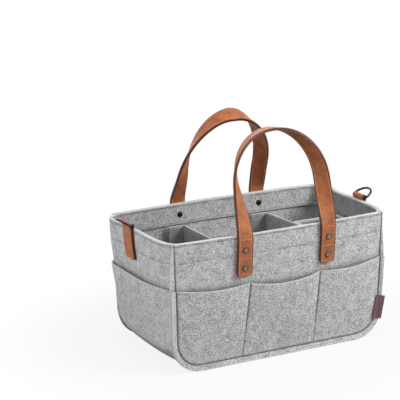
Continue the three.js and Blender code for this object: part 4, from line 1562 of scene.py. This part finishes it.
@dataclass
class Insides:
    """The lift-out dividers, the box insert and the hook tape behind their flaps."""

    shop: Workshop
    form: BoxForm = BoxForm()
    flap_length: float = 28.0
    bend: float = 3.0
    standoff: float = 6.3
    insert_spacing: float = 1.0
    insert_back: float = 22.0
    insert_gap: float = 2.9
    insert_flap: float = 24.0
    insert_stitch_drop: float = 4.0
    left_back: float = -60.0
    left_front: float = -62.0
    right_back: float = 88.0
    right_front: float = 101.0
    lean: float = 0.9
    lean_along: float = 0.035
    lean_up: float = 0.012
    lean_reach: float = 90.0
    tape_thickness: float = 2.4
    tape_rounding: float = 0.4
    flap_tape_depth: float = 2.7

    @property
    def top(self) -> float:
        """Height of the dividers' top edge."""
        return self.form.hem_foot - self.form.gap

    def build(self) -> None:
        """Makes the dividers, the insert and their tape."""
        sheets = {
            "divider_left": ("left_divider", self._divider_plan(self.left_back, self.left_front)),
            "divider_right": ("right_divider", self._divider_plan(self.right_back, self.right_front)),
            "box_insert": ("insert", self._insert_plan),
        }
        for node, (body, plan) in sheets.items():
            self._upright(node, body, plan)
        self._insert_stitches()
        for layer in ("wall", "flap"):
            for node, (body, _) in sheets.items():
                for flap in ("left", "right") if body == "insert" else ("back", "front"):
                    self._tape(f"{node}_{flap}_{layer}_tape", body if layer == "flap" else "root")

    def _on_flap(self, side: Side, x: float, z: float) -> tuple[float, float]:
        """X and Y of the middle of a flap's felt, at a place along a long wall."""
        form = self.form
        plain = float(form.face(side, x, z)) - form.felt - self.standoff - form.felt / 2
        return x, side.value * plain

    def _divider_plan(self, back: float, front: float) -> Callable[[float], Rows]:
        """Plan of a divider: a flap, the sheet across and the other flap."""
        corners = [(Side.BACK, back - self.flap_length), (Side.BACK, back)]
        corners += [(Side.FRONT, front), (Side.FRONT, front - self.flap_length)]
        return lambda z: np.array([self._on_flap(side, x, z) for side, x in corners])

    def _insert_left(self, y: float, z: float) -> float:
        """X of the insert's left wall, which stands beside the right divider."""
        back = self._on_flap(Side.BACK, self.right_back, z)[1]
        share = (back - y) / (2 * back)
        return blend_of(self.right_back, self.right_front, share) + self.form.felt + self.insert_spacing

    def _insert_right(self, z: float) -> float:
        """X of the insert's right wall, which stands beside the short wall."""
        form = self.form
        level = max(z, form.corner_z)
        corner = self._on_flap(Side.FRONT, float(form.half_width(level)), level)[1]
        lining = 2 * form.felt + form.gap
        return float(form.end_face(-corner, level)) - lining - self.insert_gap - form.felt / 2

    def _insert_plan(self, z: float) -> Rows:
        """Plan of the insert: two flaps, two side walls and the wall across."""
        left = self._insert_left(self._on_flap(Side.FRONT, self.right_front, z)[1], z)
        right = self._insert_right(z)
        corners = [self._on_flap(Side.FRONT, x, z) for x in (left + self.insert_flap, left)]
        corners += [(self._insert_left(self.insert_back, z), self.insert_back), (right, self.insert_back)]
        corners += [self._on_flap(Side.FRONT, x, z) for x in (right, right - self.insert_flap)]
        return np.array(corners)

    def _rounded(self, corners: Rows) -> Rows:
        """A plan with each corner rounded and each run divided.

        Args:
            corners: The plan's corners.

        Returns:
            The plan's points.
        """
        points = [corners[0]]
        for before, corner, after in zip(corners[:-2], corners[1:-1], corners[2:]):
            start = corner + unit(before - corner) * self.bend
            stop = corner + unit(after - corner) * self.bend
            points.extend(np.linspace(points[-1], start, 16)[1:])
            points.extend(corner_curve(start, corner, stop, 6))
        points.extend(np.linspace(points[-1], corners[-1], 16)[1:])
        return np.array(points)

    def _upright(self, node: str, body: str, plan: Callable[[float], Rows]) -> None:
        """An upright sheet whose foot follows the floor.

        Args:
            node: The solid that it stands for.
            body: The body that it rides on.
            plan: Gives the plan's corners at a height.
        """
        form = self.form
        top_path = self._rounded(plan(self.top))
        foot = form.floor(np.abs(top_path[:, 0]) + form.felt, top_path[:, 1]) + form.gap
        grid = []
        for share in np.linspace(0, 1, 30):
            row = []
            for index, z in enumerate(blend_of(foot, self.top, share)):
                x, y = self._rounded(plan(float(z)))[index]
                row.append((x + self._lean(y, z) * share, y, z))
            grid.append(row)
        piece = laid_grid(f"felt_{node}", np.array(grid))
        thickened(piece, form.felt, 0, form.edge_rounding)
        # Painted highlight along the top raw edge.
        marked(piece, cut=lambda at: form.top_edge(at, self.top))
        self.shop.fit(piece, Finish.DIVIDER, body, node)

    def _lean(self, y: Any, z: Any) -> Any:
        """How far an upright sheet leans sideways at its top, in a soft wave."""
        wave = np.sin(y * self.lean_along + z * self.lean_up)
        return self.lean * wave * (1 - (y / self.lean_reach) ** 4)

    def _insert_stitches(self) -> None:
        """The row of stitches along the top of the box insert."""
        z = self.top - self.insert_stitch_drop
        plan = self._rounded(self._insert_plan(z))
        path = np.column_stack([plan, np.full(len(plan), z)])
        path[:, 0] += self._lean(path[:, 1], z)
        outward = np.cross(unit(np.gradient(path, axis=0)), np.array([0, 0, 1.0]))
        seams = [Seam(path + outward * sign * self.form.felt / 2, outward * sign) for sign in (-1, 1)]
        piece = Needle(radius=0.28, lift=0.0).sew("insert_stitches", seams)
        self.shop.fit(piece, Finish.FELT_THREAD, "insert")

    def _tape(self, node: str, body: str) -> None:
        """One layer of hook tape in the place that its solid holds.

        Args:
            node: The solid that it stands for.
            body: The body that it rides on.
        """
        form = self.form
        low, high = node_corners(node)
        side = Side.BACK if low[1] > 0 else Side.FRONT
        depth = form.layer if "wall" in node else form.felt + 2 * form.gap + self.flap_tape_depth
        x = np.linspace(low[0], high[0], 8)[None, :]
        z = np.linspace(low[2], high[2], 16)[:, None]
        piece = laid_grid(f"{node}_strip", form.wall(side, x, z, -depth), lambda at: side.outward)
        thickened(piece, self.tape_thickness, -1, self.tape_rounding)
        self.shop.fit(piece, Finish.TAPE, body, node)


# Handles and rivets


@dataclass(frozen=True)
class ArchSizes:
    """The curve of one handle above the rim, in millimetres and radians."""

    half_width: float
    shoulder: float
    rise: float
    top_turn: float
    twist_power: float
    lean: float = math.radians(19)


ARCHES = {
    Side.FRONT: ArchSizes(72.6, 70.3, 77.8, math.radians(102), 1.35),
    Side.BACK: ArchSizes(68.5, 51.6, 95.9, math.radians(110), 1.0),
}


@dataclass(frozen=True)
class StrapPath:
    """A strap's middle line: points, facing directions, directions across and distance along."""

    centre: Rows
    facing: Rows
    across: Rows
    reach: Rows


@dataclass
class Handle:
    """One leather strap with its stitches, rivets and inner caps."""

    shop: Workshop
    side: Side
    form: BoxForm = BoxForm()
    width: float = 25.0
    thickness: float = 4.0
    leg_spacing: float = 71.0
    straight_share: float = 0.2
    twist_length: float = 185.0
    bend_below: float = 2.0
    bend_above: float = 17.0
    softening: int = 14
    softened_height: float = 9.0
    end_radius: float = 4.5
    edge_rounding: float = 1.1
    stitch_inset: float = 2.6
    row_drops: tuple[float, ...] = (6.5, 35.5, 59.2)
    rivet_sink: float = 0.15
    # Painted shade and dark reflection on each cap's rim.
    seat_shade: float = 0.9
    seat_start: float = 2.6
    seat_run: float = 1.6
    columns: int = 11

    @property
    def arch(self) -> ArchSizes:
        """The handle's own curve."""
        return ARCHES[self.side]

    @property
    def hinge(self) -> Rows:
        """Middle of the fold line, from the frame's joint."""
        return joint_place(f"{self.side.word}_handle_fold")

    @property
    def foot(self) -> float:
        """Height of the strap's ends, from the frame."""
        return node_corners(f"{self.side.word}_handle_leg_left")[0][2]

    def build(self) -> None:
        """Makes the strap, its thread and its rivets."""
        path = self._path()
        self._strap(path)
        self._thread(path)
        self._rivets()

    def _leg(self, sign: int) -> Rows:
        """Points up a leg, on the outside of its wall."""
        x = self.hinge[0] + sign * self.leg_spacing
        z = np.arange(self.foot, self.form.rim_height - 2, 1.5)
        return self.form.wall(self.side, x, z, self.form.gap + self.thickness / 2)

    def _arch(self) -> tuple[Rows, Rows]:
        """Points over the arch, and how far the strap has turned at each."""
        arch = self.arch
        t = np.linspace(0, 1, 2401)
        half = np.minimum(t, 1 - t) * 2
        up = half / self.straight_share
        angle = (half - self.straight_share) / (1 - self.straight_share) * QUARTER
        straight = half < self.straight_share
        leg = blend_of(self.leg_spacing, arch.half_width, ease(up))
        aside = np.where(straight, leg, arch.half_width * np.cos(angle)) * np.where(t > 0.5, 1, -1)
        rise = np.where(straight, arch.shoulder * up, arch.shoulder + arch.rise * np.sin(angle))
        flat = np.stack([aside, rise], axis=-1)
        reach = travelled(flat)
        places = np.linspace(2.0, reach[-1] - 2.0, 220)
        flat = read_off(places, reach, flat)
        upward, _ = self._tilted()
        points = self.hinge + flat[:, :1] * np.array([1, 0, 0]) + flat[:, 1:] * upward
        left = np.maximum(1 - np.minimum(places, reach[-1] - places) / self.twist_length, 0)
        return points, (1 - left**arch.twist_power) * arch.top_turn

    def _tilted(self) -> tuple[Rows, Rows]:
        """Direction up the leaning arch, and the one square to it towards the front."""
        tilt = self.side.value * self.arch.lean
        upward = np.array([0, -math.sin(tilt), math.cos(tilt)])
        return upward, np.array([0, -math.cos(tilt), -math.sin(tilt)])

    def _path(self) -> StrapPath:
        """The strap's middle line and its directions, from end to end."""
        legs = [self._leg(-1), self._leg(1)[::-1]]
        arch, turn = self._arch()
        centre = np.concatenate([legs[0], arch, legs[1]])
        turns = np.concatenate([np.zeros(len(legs[0])), turn, np.zeros(len(legs[1]))])[:, None]
        near = np.abs(centre[:, 2] - self.form.rim_height) < self.softened_height
        for _ in range(self.softening):
            centre[near] = softened(centre)[near]
        along = unit(np.gradient(centre, axis=0))
        rim_share = ease((centre[:, 2:3] - self.form.rim_height + 6) / 20)
        out = blend_of(Side.FRONT.outward, self._tilted()[1], rim_share)
        out = unit(out - along * (out * along).sum(axis=1, keepdims=True))
        facing = unit(out * np.cos(turns) + np.cross(along, out) * np.sin(turns))
        return StrapPath(centre, facing, np.cross(along, facing), travelled(centre))

    def _strap(self, path: StrapPath) -> None:
        """The strap itself, in one piece from end to end.

        Args:
            path: The strap's middle line.
        """
        half = self.width / 2
        shares = crowded(self.columns)
        widths = (half - end_taper(path.reach, self.end_radius))[:, None] * shares
        points = path.centre[:, None, :] + path.across[:, None, :] * widths[:, :, None]
        piece = laid_grid(f"{self.side.word}_leather_strap", points)
        mapped_strip(piece, shares, path.reach / half)
        thickened(piece, self.thickness, 0, self.edge_rounding, 3)
        nodes = [f"{self.side.word}_handle_{part}" for part in ("arch", "leg_left", "leg_right")]
        self._bend(piece, Finish.LEATHER, *nodes)

    def _bend(self, piece: Piece, finish: Finish, *nodes: str) -> None:
        """Finishes a piece of the strap, with places just below and above its fold at the rim."""
        start, end = (self.hinge + np.array([0, 0, z]) for z in (-self.bend_below, self.bend_above))
        self.shop.bend(piece, finish, f"{self.side.word}_handle", start, end, *nodes)

    def _thread(self, path: StrapPath) -> None:
        """Rows of thread along both edges and across the legs, on both faces.

        Args:
            path: The strap's middle line.
        """
        centre, facing, across, reach = path.centre, path.facing, path.across, path.reach
        inset = self.width / 2 - self.stitch_inset
        inside = (reach > self.stitch_inset) & (reach < reach[-1] - self.stitch_inset)
        shares = np.linspace(-1, 1, 12)[:, None]
        seams = []
        for face in (-1, 1):
            lift = self.thickness / 2 * face
            for edge in (-1, 1):
                line = centre + across * inset * edge + facing * lift
                seams.append(Seam(line[inside], facing[inside] * face))
            for from_end in (reach, reach[-1] - reach):
                for height in self.form.rim_height - self.foot - np.array(self.row_drops):
                    index = int(np.argmin(np.abs(from_end - height)))
                    line = centre[index] + across[index] * inset * shares + facing[index] * lift
                    seams.append(Seam.facing(line, facing[index] * face))
        piece = Needle(pitch=3.4, length=2.9, radius=0.50).sew(f"{self.side.word}_strap_stitches", seams)
        self._bend(piece, Finish.LEATHER_THREAD)

    def _rivets(self) -> None:
        """A nickel cap on the strap and a black cap inside for each rivet."""
        for place in ("left_upper", "left_lower", "right_upper", "right_lower"):
            node = f"{self.side.word}_rivet_{place}"
            low, high = node_corners(node)
            x, _, z = (low + high) / 2
            outward = self._wall_normal(x, z)
            seat = self.form.wall(self.side, x, z, self.form.gap + self.thickness - self.rivet_sink)
            self._cap(f"{node}_cap", RIVET_CAP, seat, outward, node)
            inner = f"{node}_inner_cap"
            wall_y = node_corners(inner)[0 if self.side is Side.FRONT else 1][1]
            self._cap(f"{node}_black_cap", INNER_DOME, np.array([x, wall_y, z]), -outward, inner)

    def _wall_normal(self, x: float, z: float) -> Rows:
        """Outward direction of the wall at a place."""
        face = self.form.face
        slope_x = float(face(self.side, x + 2, z) - face(self.side, x - 2, z)) / 4
        slope_z = float(face(self.side, x, z + 2) - face(self.side, x, z - 2)) / 4
        return unit(np.array([-slope_x, self.side.value, -slope_z]))

    def _cap(self, name: str, cap: Cap, seat: Rows, outward: Rows, node: str) -> None:
        """A turned cap on its seat.

        Args:
            name: Its name.
            cap: Its shape and finish.
            seat: Where its middle sits.
            outward: The way that it faces.
            node: The solid that it stands for.
        """

        def crease(at: Rows) -> Rows:
            """Painted shade and dark reflection, stronger towards the cap's rim."""
            return self.seat_shade * ease((np.hypot(at[:, 0], at[:, 1]) - self.seat_start) / self.seat_run)

        piece = turned(name, cap)
        marked(piece, crease=crease)
        turn = Vector((0, 0, 1)).rotation_difference(Vector(outward)).to_matrix().to_4x4()
        piece.data.transform(Matrix.Translation(Vector(seat * MM)) @ turn)
        self.shop.fit(piece, cap.finish, "root", node)


# Rings and their tabs


@dataclass
class Ring:
    """A D-ring in its folded leather tab."""

    shop: Workshop
    end: End
    form: BoxForm = BoxForm()
    tab_width: float = 28.0
    tab_leather: float = 2.0
    tab_foot: float = node_corners("left_ring_tab")[0][2]
    tab_lean: float = 0.27
    tab_lean_drop: float = 4.0
    tab_corner: float = 3.5
    tab_rounding: float = 0.6
    wrap: float = math.radians(35)
    wire: float = 3.5
    side_gap: float = 0.8
    depth: float = 19.5
    tilt: float = math.radians(30)
    loop_gap: float = 0.6
    stitch_inset: float = 2.4
    stitch_rise: float = 3.0
    stitch_drop: float = 6.0

    @property
    def bar(self) -> Rows:
        """Middle of the ring's straight bar, from the frame's joint."""
        return joint_place(f"{self.end.word}_ring_swing")

    def build(self) -> None:
        """Makes the ring, the tab and the tab's thread."""
        self._ring()
        path = self._profile()
        self._tab(path)
        self._thread(path[len(path) // 2 :])

    def _wire_line(self) -> Rows:
        """The wire's middle line: distance out from the bar and place along it."""
        half = (self.tab_width + self.wire) / 2 + self.side_gap
        bend = self.wire / 2 + self.side_gap
        straight = self.depth - half
        points = [(0.0, y) for y in np.linspace(-half + bend, half - bend, 12)]
        for angle in np.linspace(-QUARTER, 0, 9)[1:]:
            points.append((bend + bend * math.sin(angle), half - bend + bend * math.cos(angle)))
        for angle in np.linspace(0, math.pi, 41):
            points.append((straight + half * math.sin(angle), half * math.cos(angle)))
        for angle in np.linspace(0, -QUARTER, 9)[:-1]:
            points.append((bend + bend * math.sin(angle), -half + bend - bend * math.cos(angle)))
        return np.array(points)

    def _ring(self) -> None:
        """The ring: a straight bar, two tight bends and a half circle, as a round wire."""
        name = f"{self.end.word}_ring_wire"
        out, y = self._wire_line().T
        places = [self.end.value * out * math.cos(self.tilt), self.end.value * y, out * math.sin(self.tilt)]
        points = (self.bar + np.stack(places, axis=-1)) * MM
        curve = bpy.data.curves.new(name, "CURVE")
        curve.dimensions = "3D"
        curve.bevel_depth = self.wire / 2 * MM
        curve.bevel_resolution = 5
        spline = curve.splines.new("POLY")
        spline.points.add(len(points) - 1)
        spline.points.foreach_set("co", np.column_stack([points, np.ones(len(points))]).ravel())
        spline.use_cyclic_u = True
        piece = bpy.data.objects.new(name, curve)
        bpy.context.scene.collection.objects.link(piece)
        only(piece)
        bpy.ops.object.convert(target="MESH")
        piece = bpy.context.object
        smoothed(piece, 60)
        self.shop.fit(piece, Finish.BLACK, f"{self.end.word}_ring", f"{self.end.word}_d_ring")

    def _profile(self) -> Rows:
        """Middle line of the tab's leather: distance out from the wall and height."""
        gap, leather = self.form.gap, self.tab_leather
        bend = self.wire / 2 + self.loop_gap + leather / 2
        back = gap + leather / 2
        front = back + leather + gap
        middle = gap * 1.5 + leather
        neck = self.form.rim_height + gap
        angles = np.linspace(math.pi + self.wrap, -self.wrap, 22)[:, None]
        loop = np.array([middle, self.bar[2]]) + bend * np.hstack([np.cos(angles), np.sin(angles)])
        inner, outer = [(back, self.tab_foot), (back, neck)], [(front, neck), (front, self.tab_foot)]
        corners = np.concatenate([inner, loop, outer])
        reach = travelled(corners)
        path = read_off(np.linspace(0, reach[-1], 150), reach, corners)
        for _ in range(6):
            path = softened(path)
        return path

    def _tab(self, path: Rows) -> None:
        """The leather tab, folded round the ring's bar and sewn to the wall.

        Args:
            path: Middle line of its leather: distance out from the wall and height.
        """
        half = self.tab_width / 2
        shares = crowded(11)
        reach = travelled(path)
        out, z = path[:, :1], path[:, 1:]
        y = self.bar[1] + (half - end_taper(reach, self.tab_corner))[:, None] * shares + self._slip(z)
        held = np.minimum(z, self.form.rim_height)
        x = self.end.value * (self.form.half_width(z) + self.form.side_swell(y, held) + out)
        points = np.stack([x, y, np.broadcast_to(z, y.shape)], axis=-1)
        piece = laid_grid(f"{self.end.word}_leather_tab", points)
        mapped_strip(piece, shares, reach / half)
        thickened(piece, self.tab_leather, 0, self.tab_rounding, 3)
        self.shop.fit(piece, Finish.LEATHER, "root", f"{self.end.word}_ring_tab")

    def _slip(self, z: Any) -> Any:
        """How far the tab has slipped along the wall at a height below the rim."""
        drop = self.form.rim_height - self.tab_lean_drop - z
        return self.end.value * self.tab_lean * np.maximum(drop, 0)

    def _thread(self, outer: Rows) -> None:
        """Stitches down both edges and across the foot of the tab.

        Args:
            outer: The outer half of the tab's middle line, from its top down.
        """
        centre = self.bar[1]
        inset = self.tab_width / 2 - self.stitch_inset
        low, high = self.tab_foot + self.stitch_rise, self.form.rim_height - self.stitch_drop

        def on_tab(y: Rows, z: Rows) -> Seam:
            """A row of stitches on the tab's outer face."""
            out = np.interp(z, outer[::-1, 1], outer[::-1, 0]) + self.tab_leather / 2
            return Seam.facing(self.form.wall(self.end, y + self._slip(z), z, out), self.end.outward)

        down = np.linspace(high, low, 40)
        across = np.linspace(centre - inset, centre + inset, 14)
        seams = [on_tab(np.full_like(down, centre + edge * inset), down) for edge in (-1, 1)]
        seams += [on_tab(across, np.full_like(across, height)) for height in (low, high)]
        needle = Needle(pitch=3.4, length=2.9, lift=0.08)
        self.shop.fit(needle.sew(f"{self.end.word}_tab_stitches", seams), Finish.LEATHER_THREAD, "root")


# The bare tag


@dataclass
class Tag:
    """The bare ribbon tag in the right front seam."""

    shop: Workshop
    form: BoxForm = BoxForm()
    width: float = 15.5
    height: float = 37.0
    thickness: float = 0.9
    rounding: float = 0.25
    centre_height: float = 47.5
    lap: float = 6.5
    lift: float = 0.18
    curl: float = 0.9
    curl_turn: float = 0.08
    turn: float = math.radians(9)
    columns: int = 15
    rows: int = 27

    def build(self) -> None:
        """Makes the tag."""
        form = self.form
        across_shares, up_shares = np.linspace(-1, 1, self.columns), np.linspace(-1, 1, self.rows)
        across = across_shares[None, :] * self.width / 2
        up = up_shares[:, None] * self.height / 2
        centre = float(form.half_width(self.centre_height)) + self.width / 2 - self.lap
        x = centre + across * math.cos(self.turn) + up * math.sin(self.turn)
        z = self.centre_height + up * math.cos(self.turn) - across * math.sin(self.turn)
        curl = self.curl * (np.clip(across / self.width + 0.5, 0, 1) ** 2) * np.cos(up * self.curl_turn)
        swell = self.lift * np.maximum(form.half_width(z) - x, 0)
        out = 3 * form.gap + form.felt + np.maximum(form.seam_relief(x, z), 0) + swell + curl
        piece = laid_grid("ribbon_tag", form.wall(Side.FRONT, x, z, out), lambda at: Side.FRONT.outward)
        mapped_strip(piece, across_shares, up_shares * 2.3)
        thickened(piece, self.thickness, 1, self.rounding)
        self.shop.fit(piece, Finish.RIBBON, "root", "seam_tag")


# The studio


@dataclass(frozen=True)
class Lamp:
    """A square soft lamp aimed at the caddy: its place and size in metres, and its power in watts."""

    name: str
    place: tuple[float, float, float]
    size: float
    power: float
    target: tuple[float, float, float] = (0, 0, 0.12)

    def build(self) -> None:
        """Makes the lamp."""
        data = bpy.data.lights.new(self.name, "AREA")
        data.size = self.size
        data.energy = self.power
        lamp = bpy.data.objects.new(self.name, data)
        lamp.location = self.place
        lamp.rotation_mode = "QUATERNION"
        lamp.rotation_quaternion = (Vector(self.target) - Vector(self.place)).to_track_quat("-Z", "Y")
        bpy.context.scene.collection.objects.link(lamp)


@dataclass(frozen=True)
class Studio:
    """The floor, the lamps and the camera, in metres."""

    lens: float = 144.0
    sensor: float = 36.0
    clip_start: float = 0.05
    camera_place: tuple[float, float, float] = (-1.17706, -2.02893, 0.84364)
    camera_yaw: float = math.radians(28.363)
    camera_drop: float = math.radians(14.934)
    camera_roll: float = math.radians(-0.475)
    lamps: tuple[Lamp, ...] = (
        Lamp("key_lamp", (1.45, -1.3, 1.5), 0.9, 60.0),
        Lamp("left_lamp", (-2.3, 0.0, 1.2), 1.6, 40.0),
        Lamp("top_lamp", (0.0, -0.6, 2.3), 1.4, 20.0),
        Lamp("back_lamp", (0.7, 2.3, 1.1), 1.6, 20.0),
    )
    floor_size: float = 12.0
    floor_level: float = -0.0002
    floor_colour: Colour = (0.50, 0.50, 0.50)
    floor_share: float = 0.13
    floor_near: float = 0.24
    floor_far: float = 0.42
    sky_strength: float = 0.27
    white: tuple[float, ...] = (1, 1, 1, 1)

    def build(self) -> None:
        """Makes the whole studio."""
        self._camera()
        self._floor()
        for lamp in self.lamps:
            lamp.build()
        self._world()
        bpy.context.scene.view_settings.view_transform = "Standard"

    def _camera(self) -> None:
        """The camera at the photograph's angle."""
        data = bpy.data.cameras.new("camera")
        data.lens = self.lens
        data.sensor_width = self.sensor
        data.clip_start = self.clip_start
        camera = bpy.data.objects.new("camera", data)
        bpy.context.scene.collection.objects.link(camera)
        yaw = Matrix.Rotation(-self.camera_yaw, 4, "Z")
        drop = Matrix.Rotation(QUARTER - self.camera_drop, 4, "X")
        roll = Matrix.Rotation(self.camera_roll, 4, "Z")
        camera.matrix_world = Matrix.Translation(self.camera_place) @ yaw @ drop @ roll
        bpy.context.scene.camera = camera

    def _floor(self) -> None:
        """A wide pale floor that keeps the caddy's shadow and fades to white away from it."""
        deselect()
        bpy.ops.mesh.primitive_plane_add(size=self.floor_size, location=(0, 0, self.floor_level))
        floor = just_added("studio_floor")
        sheet = MaterialSheet("floor_pale")
        sheet.finish(base_color=self.floor_colour, roughness=0.9, specular_ior_level=0.1)
        away = sheet.read("Value", "ShaderNodeVectorMath", {0: sheet.place()}, operation="LENGTH")
        near = 1.0 - away.between(self.floor_near, self.floor_far)
        white = sheet.read("Emission", "ShaderNodeEmission", {"Color": self.white, "Strength": 1.0})
        share = sheet.seen() * (1.0 - near * self.floor_share)
        sheet.show(sheet.read("Shader", "ShaderNodeMixShader", {0: share, 1: sheet.lit, 2: white}))
        floor.data.materials.append(sheet.material)

    def _world(self) -> None:
        """A white background, and a plain soft light from all round."""
        world = bpy.data.worlds.new("studio_world")
        bpy.context.scene.world = world
        sheet = NodeSheet(world)
        soft, white = (
            sheet.read(0, "ShaderNodeBackground", {"Color": self.white, "Strength": strength})
            for strength in (self.sky_strength, 1.0)
        )
        mixed = sheet.read(0, "ShaderNodeMixShader", {0: sheet.seen(), 1: soft, 2: white})
        sheet.node("ShaderNodeOutputWorld", {"Surface": mixed})


def main() -> None:
    """Builds the studio and the caddy."""
    logging.basicConfig(level=logging.INFO, format="%(message)s")
    Studio().build()
    shop = Workshop()
    FeltBox(shop).build()
    Insides(shop).build()
    for side in Side:
        Handle(shop, side).build()
    for end in End:
        Ring(shop, end).build()
    Tag(shop).build()


if __name__ == "__main__":
    main()
